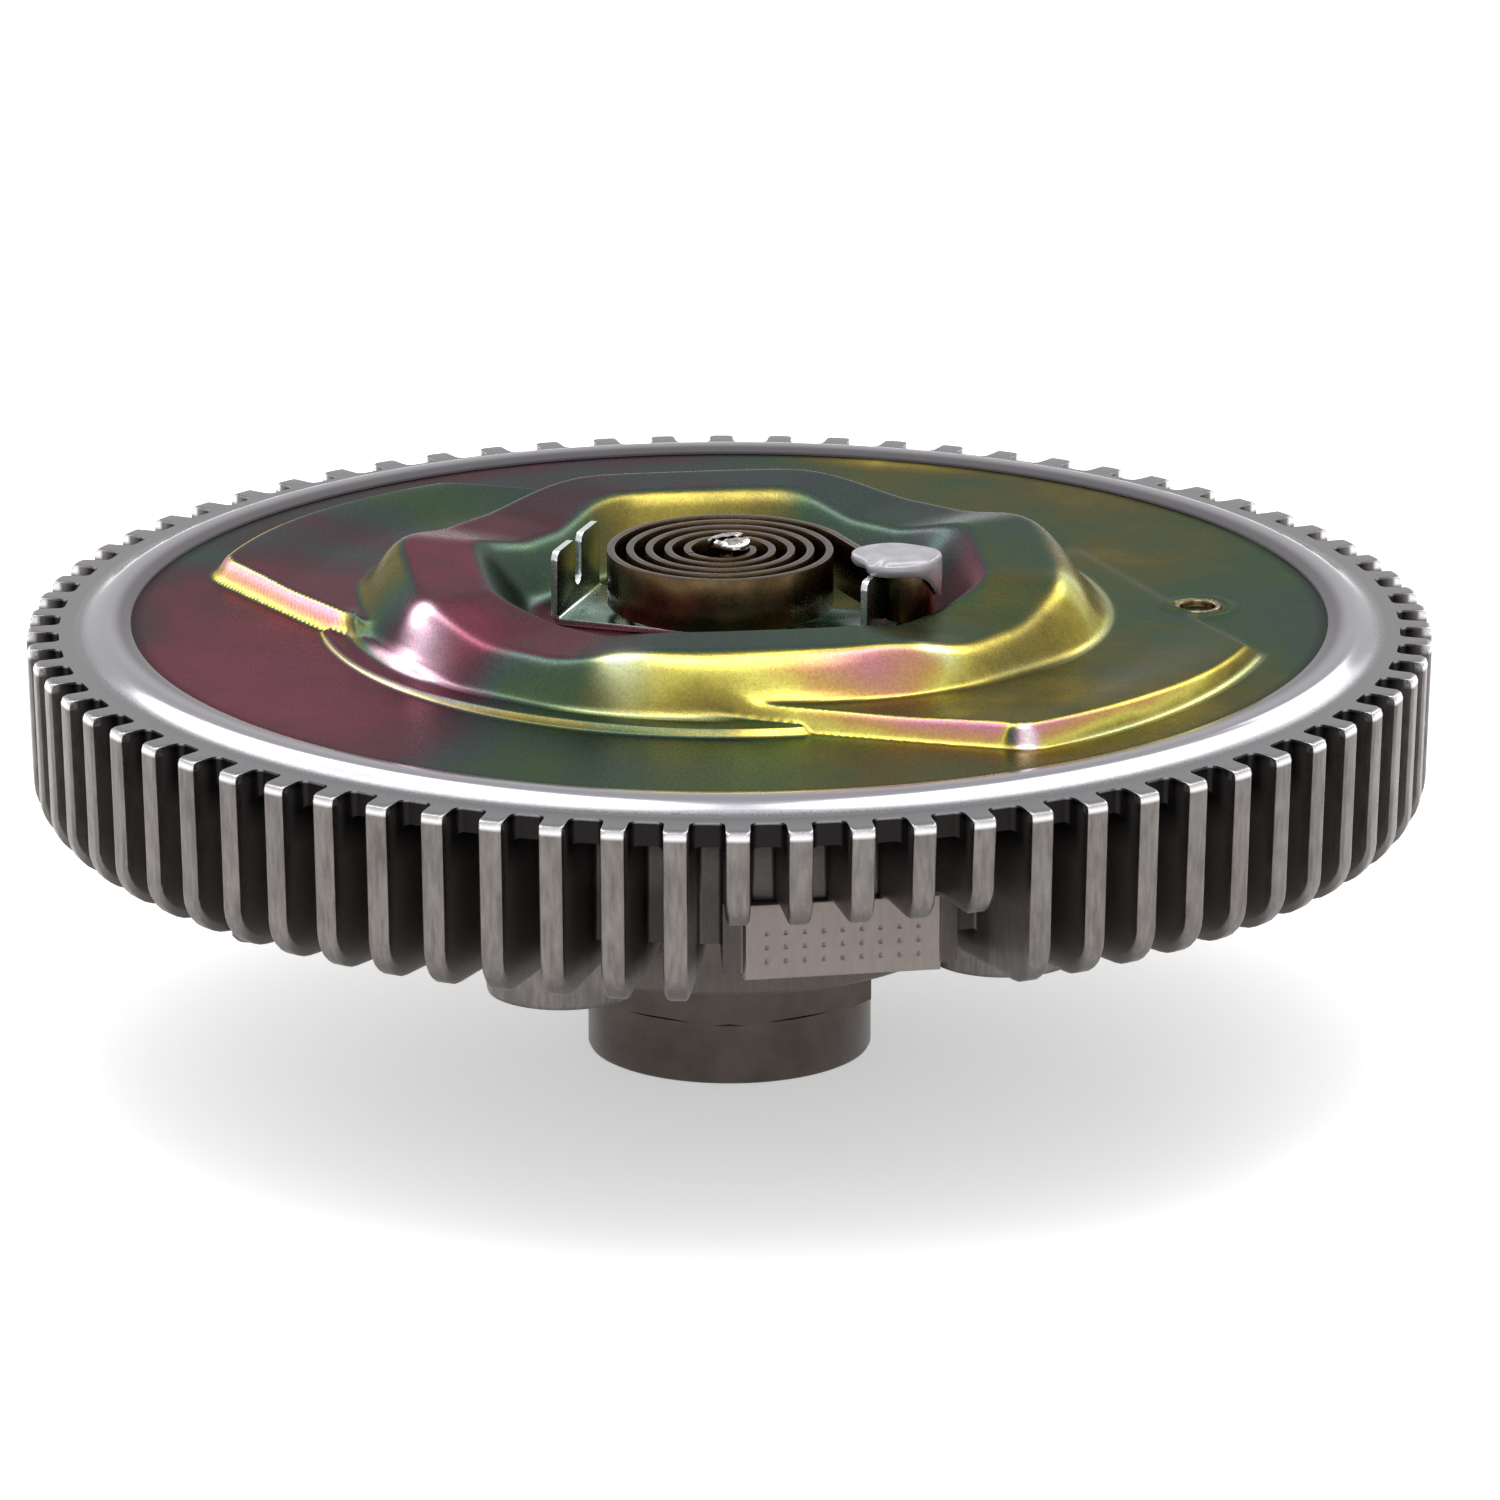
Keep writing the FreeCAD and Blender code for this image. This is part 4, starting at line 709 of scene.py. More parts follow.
@dataclass
class TurnedProfile:
    """Profile of all that is turned on the housing: lip, cover seat, chamber, bearing seat, pilot, rear wall."""

    face_inner_r: float = 92.6
    lip_crest_r: float = 87.6
    lip_crest_h: float = 1.9
    lip_inner_r: float = 84.2
    lip_inner_h: float = 1.5
    lip_roll: float = 0.35
    cover_z: float = 62.6
    cover_t: float = 1.5
    cover_r: float = 88.6
    chamber_r: float = 76.8
    chamber_z: float = 44.0
    boss_gap_r: float = 17.2
    ledge_r: float = 22.8
    bearing_top: float = 35.0
    ledge_t: float = 1.6
    bearing_r: float = 26.0
    bearing_z: float = 20.0
    groove_depth: float = 1.2
    ring_t: float = 1.3
    pilot_r: float = 32.0
    pilot_z: float = 17.0
    pilot_root_r: float = 33.5
    edge_round: float = 0.5
    rear_fillet: float = 2.5
    land_top: float = 50.0
    land_w: float = 3.0
    lands: tuple[float, ...] = (68.0, 60.0, 52.0, 44.0)

    def outline(self, top_z: float, wall_z: float, wall_r: float) -> Profile:
        """Points from the face over the lip and through the clutch to the rear wall.

        Args:
            top_z: height of the face.
            wall_z: height of the rear wall.
            wall_r: radius at which the profile ends on it.

        Returns:
            Radius and height of each point.
        """
        crest_z, inner_z = top_z + self.lip_crest_h, top_z + self.lip_inner_h
        run_in, roll_r = self.lip_crest_r - self.face_inner_r, self.lip_inner_r + self.lip_roll
        outline: Profile = [
            (self.face_inner_r + run_in * share, top_z + self.lip_crest_h * smooth_step(share, 0.0, 1.0))
            for share in np.arange(10) / 9]
        outline += [(self.lip_crest_r + (roll_r - self.lip_crest_r) * share, crest_z + (inner_z - crest_z) * share ** 2)
                    for share in np.arange(1, 5) / 4]
        outline += arc((roll_r, inner_z - self.lip_roll), self.lip_roll, 90.0, 90.0, 2)[1:]
        outline += [(self.lip_inner_r, self.cover_z), (self.cover_r, self.cover_z),
                    (self.cover_r, self.cover_z - self.cover_t), (self.chamber_r, self.cover_z - self.cover_t),
                    (self.chamber_r, self.chamber_z)]
        for middle in self.lands:
            outer, inner = middle + self.land_w / 2.0, middle - self.land_w / 2.0
            outline += [(outer, self.chamber_z), (outer, self.land_top), (inner, self.land_top),
                        (inner, self.chamber_z)]
        ledge_z, groove_r = self.bearing_top + self.ledge_t, self.bearing_r + self.groove_depth
        outline += [(self.boss_gap_r, self.chamber_z), (self.boss_gap_r, ledge_z), (self.ledge_r, ledge_z),
                    (self.ledge_r, self.bearing_top), (self.bearing_r, self.bearing_top),
                    (self.bearing_r, self.bearing_z), (groove_r, self.bearing_z),
                    (groove_r, self.bearing_z - self.ring_t), (self.bearing_r, self.bearing_z - self.ring_t),
                    (self.bearing_r, self.pilot_z + self.edge_round), (self.bearing_r + self.edge_round, self.pilot_z),
                    (self.pilot_r - self.edge_round, self.pilot_z), (self.pilot_r, self.pilot_z + self.edge_round),
                    (self.pilot_r, self.bearing_z + 1.0),
                    (self.pilot_root_r - 0.1, wall_z - self.rear_fillet)]
        outline += arc((self.pilot_root_r + self.rear_fillet, wall_z - self.rear_fillet),
                       self.rear_fillet, 180.0, -90.0, 4)[1:]
        return outline + [(wall_r, wall_z)]


@dataclass
class FinnedHousing:
    """Die-cast housing with 72 fins, five short ones over a flat pad, and a lip rolled over the cover."""

    outer_r: float = 99.0
    top_z: float = 61.5
    fin_count: int = 72
    fin_phase: float = 0.75
    tip_w: float = 3.3
    root_w: float = 3.9
    top_edge: float = 1.0
    tip_taper: float = 0.7
    bottom_z: float = 35.6
    corner_r: float = 6.0
    notch_r: float = 94.4
    rim_t: float = 3.5
    slot_r: float = 82.5
    rear_full_r: float = 75.0
    rear_inner_r: float = 58.0
    rear_wall_z: float = 40.0
    slot_step: float = 0.5
    short_first: int = 54
    short_count: int = 5
    short_z: float = 46.9
    short_corner_r: float = 4.2
    edge_w: float = 0.7
    edge_depth: float = 0.45
    edge_steps: int = 3
    corner_steps: int = 7
    fillet: float = 1.1
    root_share: float = 0.5
    rib_r: float = 83.5
    rib_lift: float = 0.9

    turned: TurnedProfile = field(default_factory=TurnedProfile)
    points: list[Point3] = field(default_factory=list)
    faces: list[list[int]] = field(default_factory=list)

    def half_width(self, radius: float) -> float:
        """Half of a fin's width at a radius."""
        slope = (self.root_w - self.tip_w) / 2.0 / (self.outer_r - self.slot_r)
        return self.tip_w / 2.0 + slope * (self.outer_r - radius)

    def fin_angle(self, index: int) -> float:
        """Angle of a fin's middle plane."""
        return self.fin_phase + 360.0 * index / self.fin_count

    def is_short(self, index: int) -> bool:
        """Whether a fin is one of the short ones over the pad."""
        return self.short_first <= index < self.short_first + self.short_count

    def add_point(self, radius: float, degrees: float, height: float) -> int:
        """Add a point on a circle and return its number."""
        x, y = polar(radius, degrees)
        self.points.append((x, y, height))
        return len(self.points) - 1

    def add_beside(self, radius: float, middle: float, across: float, height: float) -> int:
        """Add a point on a circle, at a distance beside a fin's middle plane."""
        return self.add_point(radius, middle + math.degrees(math.asin(across / radius)), height)

    def half_gap(self, radius: float) -> float:
        """Half of the gap between two fins at a radius."""
        return radius * math.sin(math.pi / self.fin_count) - self.half_width(radius)

    def rear(self, out: float) -> Point2:
        """Point of the fins' sloped rear edge, at a distance out from its inner end."""
        fall = (self.rear_wall_z - self.bottom_z) / (self.rear_full_r - self.rear_inner_r)
        return self.rear_inner_r + out, self.rear_wall_z - fall * out

    def fin_outline(self, short: bool) -> list[Point3]:
        """Outline of a fin from the rim's notch, over the tip and along the rear.

        Args:
            short: whether the fin ends over the pad.

        Returns:
            Radius, height and, as third, how deep the flanks' rounds reach there.
        """
        tip_low = self.outer_r - self.tip_taper
        start = self.notch_r + self.fillet
        outline = [(start, self.top_z, 0.0), (self.outer_r - self.top_edge, self.top_z, 0.2),
                   (self.outer_r - 0.3 * self.top_edge, self.top_z - 0.3 * self.top_edge, 0.25),
                   (self.outer_r, self.top_z - self.top_edge, 0.35)]
        radius, low, depth = ((self.short_corner_r, self.short_z, 1.7) if short
                              else (self.corner_r, self.bottom_z, 1.5))
        outline.append((tip_low + 0.1, low + radius + 3.0, self.edge_depth))
        for k, (r, z) in enumerate(arc((tip_low - radius, low + radius), radius, 0.0, -90.0, self.corner_steps)):
            share = math.sin(math.radians(90.0 * k / self.corner_steps))
            outline.append((r, z, self.edge_depth + (depth - self.edge_depth) * share))
        if short:
            rib_z = self.bottom_z + self.rib_lift
            outline += [(self.rib_r + 2.0, self.short_z, 0.8), (self.rib_r, self.short_z - 0.4, 0.0),
                        (self.rib_r, rib_z, 0.0), (self.rib_r - 1.5, rib_z, 0.4)]
        return outline + [(self.rear_full_r, self.bottom_z, 0.8), (*self.rear(self.slot_step + 6.0), 0.3),
                          (*self.rear(self.slot_step), 0.0)]

    def slot_outline(self) -> list[Point3]:
        """Outline of the gap between two fins, from the rim's notch to the rear.

        Returns:
            Radius, height and, as third, the share of the full fillet along the flanks.
        """
        deep_top = self.top_z - self.rim_t
        floor = self.rear_wall_z + self.slot_step
        end = self.rear(self.slot_step)
        return [(self.notch_r, self.top_z, 1.0), (self.notch_r, deep_top, 1.0),
                (self.slot_r, deep_top, self.root_share), (self.slot_r, floor, self.root_share),
                (end[0], floor, 0.1), (*end, 0.0)]

    @staticmethod
    def inward(outline: list[Point3]) -> list[Point2]:
        """Directions into the solid at the points of a fin's outline, made longer at corners."""
        sides = []
        for here, there in zip(outline, outline[1:]):
            run, rise = there[0] - here[0], there[1] - here[1]
            length = math.hypot(run, rise)
            sides.append((rise / length, -run / length))
        found = [sides[0]]
        for before, after in zip(sides, sides[1:]):
            total = (before[0] + after[0], before[1] + after[1])
            square = max(total[0] ** 2 + total[1] ** 2, 1.0)
            found.append((2.0 * total[0] / square, 2.0 * total[1] / square))
        return found + [sides[-1]]

    def fin_columns(self, index: int) -> list[list[int]]:
        """Add a fin's points in columns from one flank over the tip to the other."""
        outline = self.fin_outline(self.is_short(index))
        inward = self.inward(outline)
        turns = [math.radians(90.0 * k / self.edge_steps) for k in range(self.edge_steps + 1)]
        places = [(-1.0, turn) for turn in turns] + [(0.0, turns[-1])] + [(1.0, turn) for turn in reversed(turns)]
        columns = []
        for side, turn in places:
            back = 1.0 - math.sin(turn)
            shift = self.edge_w * (1.0 - math.cos(turn))
            column = []
            for (radius, height, depth), normal in zip(outline, inward):
                r = radius + normal[0] * depth * back
                z = height + normal[1] * depth * back
                column.append(self.add_beside(r, self.fin_angle(index), side * (self.half_width(r) - shift), z))
            columns.append(column)
        return columns

    def gap_columns(self, index: int, side: float, flank: list[int]) -> list[list[int]]:
        """Add half a gap's points in columns, from a fin's flank out of its fillet.

        Args:
            index: the fin.
            side: the side of the fin, 1 or -1.
            flank: the fin's own column on that side, whose ends the gap shares.

        Returns:
            The columns, the flank's first.
        """
        slot = self.slot_outline()
        columns = []
        for step in range(self.edge_steps + 1):
            turn = math.radians(90.0 * step / self.edge_steps)
            column = []
            for k, (radius, height, share) in enumerate(slot):
                if step == 0 and k in (0, len(slot) - 1):
                    column.append(flank[0 if k == 0 else -1])
                    continue
                fillet = min(self.fillet * share, 0.8 * self.half_gap(radius))
                out = fillet * (1.0 - math.sin(turn))
                spread = max(fillet, 0.5 * self.half_gap(radius) if share == 0.0 else 0.0)
                r = radius + out
                z = height if k in (0, len(slot) - 1) else height - out
                across = self.half_width(r) + spread * (1.0 - math.cos(turn))
                column.append(self.add_beside(r, self.fin_angle(index), side * across, z))
            columns.append(column)
        return columns

    def skin(self, columns: list[list[int]]) -> None:
        """Add the faces between neighbouring columns of points."""
        self.faces += [[left[k], right[k], right[k + 1], left[k + 1]]
                       for left, right in zip(columns, columns[1:]) for k in range(len(left) - 1)]

    def ring_columns(self, index: int) -> list[list[int]]:
        """Add one sector's points on the turned surfaces, in four columns."""
        turned = self.turned.outline(self.top_z, self.rear_wall_z, self.rear_inner_r)
        front, rear = (math.degrees(math.asin(self.half_width(radius) / radius))
                       for radius in (self.notch_r, self.rear_inner_r))
        last = len(turned) - 1
        columns = []
        for part in (-1.0, 0.0, 1.0, 2.0):
            shifts = [180.0 / self.fin_count if part == 2.0 else part * (front + (rear - front) * k / last)
                      for k in range(last + 1)]
            columns.append([self.add_point(r, self.fin_angle(index) + shift, z)
                            for shift, (r, z) in zip(shifts, turned)])
        return columns

    def build_sectors(self) -> None:
        """Fill the point and face lists, fin by fin."""
        count = self.fin_count
        fins = [self.fin_columns(index) for index in range(count)]
        rings = [self.ring_columns(index) for index in range(count)]
        slot = self.slot_outline()
        for index, fin in enumerate(fins):
            after = (index + 1) % count
            right = self.gap_columns(index, 1.0, fin[-1])
            left = self.gap_columns(after, -1.0, fins[after][0])
            middle = [self.add_point(r, self.fin_angle(index) + 180.0 / count, z) for r, z, _ in slot]
            gap = right + [middle] + left[::-1]
            self.skin(fin)
            self.skin(gap)
            self.faces += [fin[-1] + right[0][1:-1][::-1], fins[after][0] + left[0][1:-1][::-1]]
            around = rings[index] + [rings[after][0]]
            self.skin(around)
            half = len(fin) // 2
            halves = [fin[:half + 1], fin[half:], gap[:len(right) + 1], gap[len(right):]]
            self.faces += [[near[end], far[end]] + [column[end] for column in outer[::-1]]
                           for end in (0, -1) for near, far, outer in zip(around, around[1:], halves)]

    def build(self) -> None:
        """Make the housing with its bosses and pad, and hand it over."""
        self.build_sectors()
        piece = MeshTools.make("housing_casting", self.points, self.faces, 40.0)
        FanBosses(self).join(piece)
        CodePad(self).join(piece)
        MeshTools.shade(piece, 38.0)
        MeshTools.change(piece, "WEIGHTED_NORMAL", keep_sharp=True)
        hand_over(piece, "housing", "cast_aluminium", Finish.CAST, "housing")


@dataclass
class FanBosses:
    """Four bosses with blind screw holes on the rear wall, each tied to the pilot by a web."""

    housing: FinnedHousing
    count: int = 4
    phase: float = 58.7
    pitch_r: float = 45.0
    face_r: float = 10.5
    root_r: float = 11.3
    face_z: float = 20.0
    root_z: float = 42.0
    edge: float = 0.8
    hole_r: float = 3.4
    hole_depth: float = 17.0
    lead_in: float = 0.9
    web_w: float = 8.0
    nub_angle: float = 222.5
    nub_pitch_r: float = 90.0
    nub_r: float = 2.3
    nub_h: float = 1.2

    def boss(self, angle: float) -> Piece:
        """One boss as a closed body."""
        bottom = self.face_z + self.hole_depth
        section = [(0.0, bottom + 1.0), (self.hole_r, bottom), (self.hole_r, self.face_z + self.lead_in),
                   (self.hole_r + self.lead_in, self.face_z), (self.face_r - self.edge, self.face_z),
                   (self.face_r - 0.25 * self.edge, self.face_z + 0.25 * self.edge),
                   (self.face_r, self.face_z + self.edge), (self.root_r, self.root_z), (0.0, self.root_z)]
        return MeshTools.lathe("boss", lambda _: section, 64, closed=False, centre=polar(self.pitch_r, angle))

    def web(self, angle: float) -> Piece:
        """Web between the pilot and one boss."""
        inner, outer = self.housing.turned.pilot_r - 1.0, self.pitch_r
        half = self.web_w / 2
        outline = [spun(x, y, angle) for x, y in ((inner, -half), (outer, -half), (outer, half), (inner, half))]
        return MeshTools.prism("web", outline, self.face_z + 2.0, self.root_z - 1.0)

    def join(self, piece: Piece) -> None:
        """Unite the bosses, their webs and the casting's nub with the housing."""
        for k in range(self.count):
            angle = self.phase + 360.0 * k / self.count
            MeshTools.combine(piece, self.web(angle), "UNION")
            MeshTools.combine(piece, self.boss(angle), "UNION")
        low = self.housing.bottom_z - self.nub_h
        section = [(0.0, low), (self.nub_r - 0.6, low), (self.nub_r, low + 0.6),
                   (self.nub_r, low + self.nub_h + 1.0), (0.0, low + self.nub_h + 1.0)]
        nub = MeshTools.lathe("nub", lambda _: section, 32, closed=False,
                              centre=polar(self.nub_pitch_r, self.nub_angle))
        MeshTools.combine(piece, nub, "UNION")


@dataclass
class CodePad:
    """Flat pad under the short fins, with a plain grid of small peened dots."""

    housing: FinnedHousing
    distance: float = 83.8
    depth: float = 5.0
    width: float = 27.4
    low_z: float = 35.9
    high_z: float = 46.8
    columns: int = 9
    rows: int = 3
    pitch: float = 2.65
    rise: float = 2.0
    first_row: float = 2.6
    dot_r: float = 0.36
    dot_depth: float = 0.3
    cell: float = 0.2
    edge: float = 0.35

    def angle(self) -> float:
        """Angle of the pad's middle, which is that of the middle short fin."""
        return self.housing.fin_angle(self.housing.short_first + (self.housing.short_count - 1) // 2)

    def face_depth(self, across: Array, height: Array) -> Array:
        """How far the face lies back at places on it: rounded edges and the dots."""
        side = self.width / 2.0 - np.abs(across)
        end = np.minimum(height - self.low_z, self.high_z - height)
        near = np.clip(1.0 - np.minimum(side, end) / self.edge, 0.0, 1.0)
        back = self.edge * (1.0 - np.sqrt(1.0 - near ** 2))
        for column in range(self.columns):
            for row in range(self.rows):
                y = (column - (self.columns - 1) / 2.0) * self.pitch
                z = self.low_z + self.first_row + row * self.rise
                distance = np.hypot(across - y, height - z)
                back += self.dot_depth * np.clip(1.0 - (distance / self.dot_r) ** 2, 0.0, 1.0)
        return back

    def join(self, piece: Piece) -> None:
        """Unite the pad with the housing."""
        across = np.linspace(-self.width / 2.0, self.width / 2.0, int(self.width / self.cell) + 1)
        height = np.linspace(self.low_z, self.high_z, int((self.high_z - self.low_z) / self.cell) + 1)
        grid_y, grid_z = np.meshgrid(across, height, indexing="ij")
        grid_x = self.distance - self.face_depth(grid_y, grid_z)
        angle = self.angle()
        points = [(*spun(x, y, angle), z) for x, y, z in zip(grid_x.ravel(), grid_y.ravel(), grid_z.ravel())]
        faces = quads(*grid_y.shape, closed=False)
        order = np.arange(grid_y.size).reshape(grid_y.shape)
        rim = np.concatenate([order[:, 0], order[-1, 1:], order[-2::-1, -1], order[0, -2:0:-1]]).tolist()
        back = len(points)
        points += [(*spun(self.distance - self.depth, grid_y.ravel()[number], angle), grid_z.ravel()[number])
                   for number in rim]
        count = len(rim)
        faces += [[rim[k], rim[(k + 1) % count], back + (k + 1) % count, back + k] for k in range(count)]
        faces.append([back + k for k in range(count)])
        MeshTools.combine(piece, MeshTools.make("pad", points, faces), "UNION")


@dataclass
class ChromateMap:
    """Where the chromate film on the cover is thin or thick, and where painted highlights lie."""

    # Mesh values: film thickness, and the painted highlights named light.
    FILM = "film"
    PAINTED_HIGHLIGHT = "light"

    cover: "FrontCover"
    under_film: float = 0.45
    wall_h: float = 2.6
    rim_zone: Point2 = (77.0, 83.0)
    crest_zone: Point2 = (4.2, 6.4)
    crest_span: float = 7.0
    inner_zone: Point2 = (36.0, 40.0)
    foot_zone: Point2 = (53.5, 56.0)
    front_ends: Ends = (250.0, 262.0, 318.0, 330.0)
    step_ends: Ends = (188.0, 196.0, 268.0, 276.0)
    highlight_wall_ends: Ends = (159.0, 165.0, 200.0, 214.0)
    highlight_step_ends: Ends = (189.0, 193.0, 214.0, 240.0)
    slope_sine: Point2 = (0.16, 0.5)

    flat_film: Stops = (
        (0, 0.33), (15, 0.37), (25, 0.44), (40, 0.45), (55, 0.45), (66, 0.38), (75, 0.46), (84, 0.4), (92, 0.28),
        (104, 0.24), (114, 0.24), (124, 0.3), (131, 0.38), (140, 0.26), (147, 0.16), (156, 0.27), (166, 0.16),
        (182, 0.08), (215, 0.07), (226, 0.12), (235, 0.22), (243, 0.33), (251, 0.36), (260, 0.32), (268, 0.33),
        (277, 0.38), (290, 0.44), (305, 0.49), (320, 0.5), (334, 0.49), (344, 0.46), (352, 0.38))
    crest_film: Stops = (
        (0, 0.36), (20, 0.36), (45, 0.33), (62, 0.3), (82, 0.27), (97, 0.22), (115, 0.22), (135, 0.2), (150, 0.14),
        (165, 0.08), (195, 0.07), (216, 0.12), (236, 0.12), (248, 0.25), (260, 0.32), (296, 0.34), (308, 0.42),
        (322, 0.44), (338, 0.46), (350, 0.4))
    slope_film: Stops = (
        (0, 0.52), (12, 0.48), (45, 0.42), (90, 0.3), (120, 0.36), (142, 0.3), (158, 0.5), (166, 0.52), (174, 0.52),
        (186, 0.44), (196, 0.3), (204, 0.12), (218, 0.1), (226, 0.16), (232, 0.3), (238, 0.36), (245, 0.34),
        (250, 0.46), (254, 0.62), (258, 0.66), (263, 0.62), (270, 0.6), (277, 0.66), (285, 0.76), (294, 0.82),
        (302, 0.76), (309, 0.62), (316, 0.54), (326, 0.53), (338, 0.6), (346, 0.66), (353, 0.62))
    inner_film: Stops = (
        (7, 0.1), (30, 0.27), (52, 0.33), (70, 0.38), (80, 0.54), (97, 0.6), (112, 0.6), (126, 0.42), (142, 0.35),
        (187, 0.33), (205, 0.2), (232, 0.1), (277, 0.33), (320, 0.2), (345, 0.08))
    wall_film: Stops = (
        (0, 0.45), (150, 0.6), (160, 0.64), (166, 0.68), (200, 0.7), (215, 0.6), (236, 0.52), (255, 0.5), (266, 0.66),
        (274, 0.68), (290, 0.68), (300, 0.68), (310, 0.6), (330, 0.57), (346, 0.5))
    wall_gain: Stops = (
        (0, 0.1), (150, 0.2), (160, 0.24), (170, 0.32), (205, 0.3), (225, 0), (264, 0.02), (276, 0.06), (286, 0.16),
        (296, 0.28), (304, 0.3), (318, 0.24), (336, 0.16), (350, 0.14))
    rim_film: Stops = (
        (0, 0.3), (30, 0.4), (60, 0.5), (75, 0.7), (95, 0.14), (130, 0.14), (148, 0.3), (176, 0.16), (200, 0.1),
        (235, 0.2), (250, 0.36), (275, 0.37), (300, 0.48), (318, 0.5), (332, 0.44), (346, 0.36))
    step_film: Stops = (
        (180, 0.7), (215, 0.76), (228, 0.62), (236, 0.5), (250, 0.46), (262, 0.47), (280, 0.5))
    # Painted highlights at the dome's corners: place, size and strength.
    corner_highlights: Spots = (
        (-42.6, -22.6, 1.9, 1.6), (-43.6, -27, 3.2, 0.9), (-42.6, -32, 3.4, 0.4), (-15.4, -44.6, 2.2, -1.8),
        (-13.6, -47, 3, -0.8), (27, -38.6, 1.5, -1.4), (29.8, -38.4, 1.8, -0.8), (47.2, -6.8, 2.6, -0.7),
        (48.2, -11, 2.6, -0.3), (41.2, -62.6, 1.1, 2))
    # Painted highlight lines: radius, width, strength and four angle ends.
    line_highlights: tuple[tuple[float, ...], ...] = (
        (53.6, 0.45, 0.5, 198, 206, 220, 236), (53.6, 0.45, -0.5, 240, 250, 266, 272),
        (53.6, 0.45, -0.55, 318, 345, 378, 390), (76.85, 0.4, -0.5, 305, 312, 344, 348))
    dark_spots: Spots = (
        (39.2, -62.2, 1, 0.7), (-38, -25.5, 3.6, 0.16), (-36, -31, 4, 0.12))

    @staticmethod
    def spots(x: Array, y: Array, rows: Spots) -> Array:
        """Sum of round spots, each given by its place, size and strength."""
        return sum(value * np.exp(-((x - spot_x) ** 2 + (y - spot_y) ** 2) / size ** 2)
                   for spot_x, spot_y, size, value in rows)

    def slopes_film(self, angle: Array, radius: Array, rise: Array) -> Array:
        """Film on the slopes: the dome's outside, the well's inside and the walls of channels and terrace."""
        high = np.clip(rise / self.crest_span, 0.0, 1.0)
        slope = around_circle(angle, self.slope_film) + 0.2 * (high - 0.4) * window(angle, *self.front_ends)
        slope += (1.0 - smooth_step(radius, *self.inner_zone)) * (around_circle(angle, self.inner_film) - slope)
        wall = around_circle(angle, self.wall_film)
        wall += np.clip(rise / self.wall_h, 0.0, 1.0) * around_circle(angle, self.wall_gain)
        step = bell(radius, self.cover.terrace_r - 0.3, 0.9) * window(angle, *self.step_ends)
        wall += step * (around_circle(angle, self.step_film) - wall)
        return slope + smooth_step(radius, *self.foot_zone) * (wall - slope)

    def lights(self, x: Array, y: Array, angle: Array, radius: Array, rise: Array, sloped: Array) -> Array:
        """Painted highlights: pale pink above 0 and pale lime below 0, at the dome's corners and along the forms'
        edges.
        """
        light = self.spots(x, y, self.corner_highlights) * (0.1 + 0.9 * sloped)
        wall = smooth_step(radius, 53.5, 55.5) * sloped * np.clip(rise / self.wall_h, 0.0, 1.0)
        light += 0.2 * wall * window(angle, *self.highlight_wall_ends)
        light += 0.6 * bell(radius, self.cover.terrace_r - 0.4, 0.5) * sloped * window(angle, *self.highlight_step_ends)
        for middle, width, gain, *ends in self.line_highlights:
            turned = np.mod(angle - ends[0], 360.0) + ends[0]
            light += gain * bell(radius, middle, width) * window(turned, *ends)
        return np.clip(light, -2.0, 2.0)

    def coating(self, x: Array, y: Array, z: Array, normal: Array) -> tuple[Array, Array]:
        """Thickness of the chromate film, and painted highlights.

        Args:
            x: places along X.
            y: places along Y.
            z: heights of the sheet there.
            normal: the sheet's directions there.

        Returns:
            Film from 0 to 1, and painted highlights from -2 to 2, which the finish turns into pale pink, pale lime and
            white.
        """
        angle, radius = plan_polar(x, y)
        rise = z - self.cover.top_z
        flat = around_circle(angle, self.flat_film)
        flat += 0.8 * smooth_step(radius, *self.rim_zone) * (around_circle(angle, self.rim_film) - flat)
        level = flat + smooth_step(rise, *self.crest_zone) * (around_circle(angle, self.crest_film) - flat)
        sloped = smooth_step(np.sqrt(np.clip(1.0 - normal[..., 2] ** 2, 0.0, 1.0)), *self.slope_sine)
        film = level + sloped * (self.slopes_film(angle, radius, rise) - level)
        film -= self.spots(x, y, self.dark_spots)
        return np.clip(film, 0.0, 1.0), self.lights(x, y, angle, radius, rise, sloped)


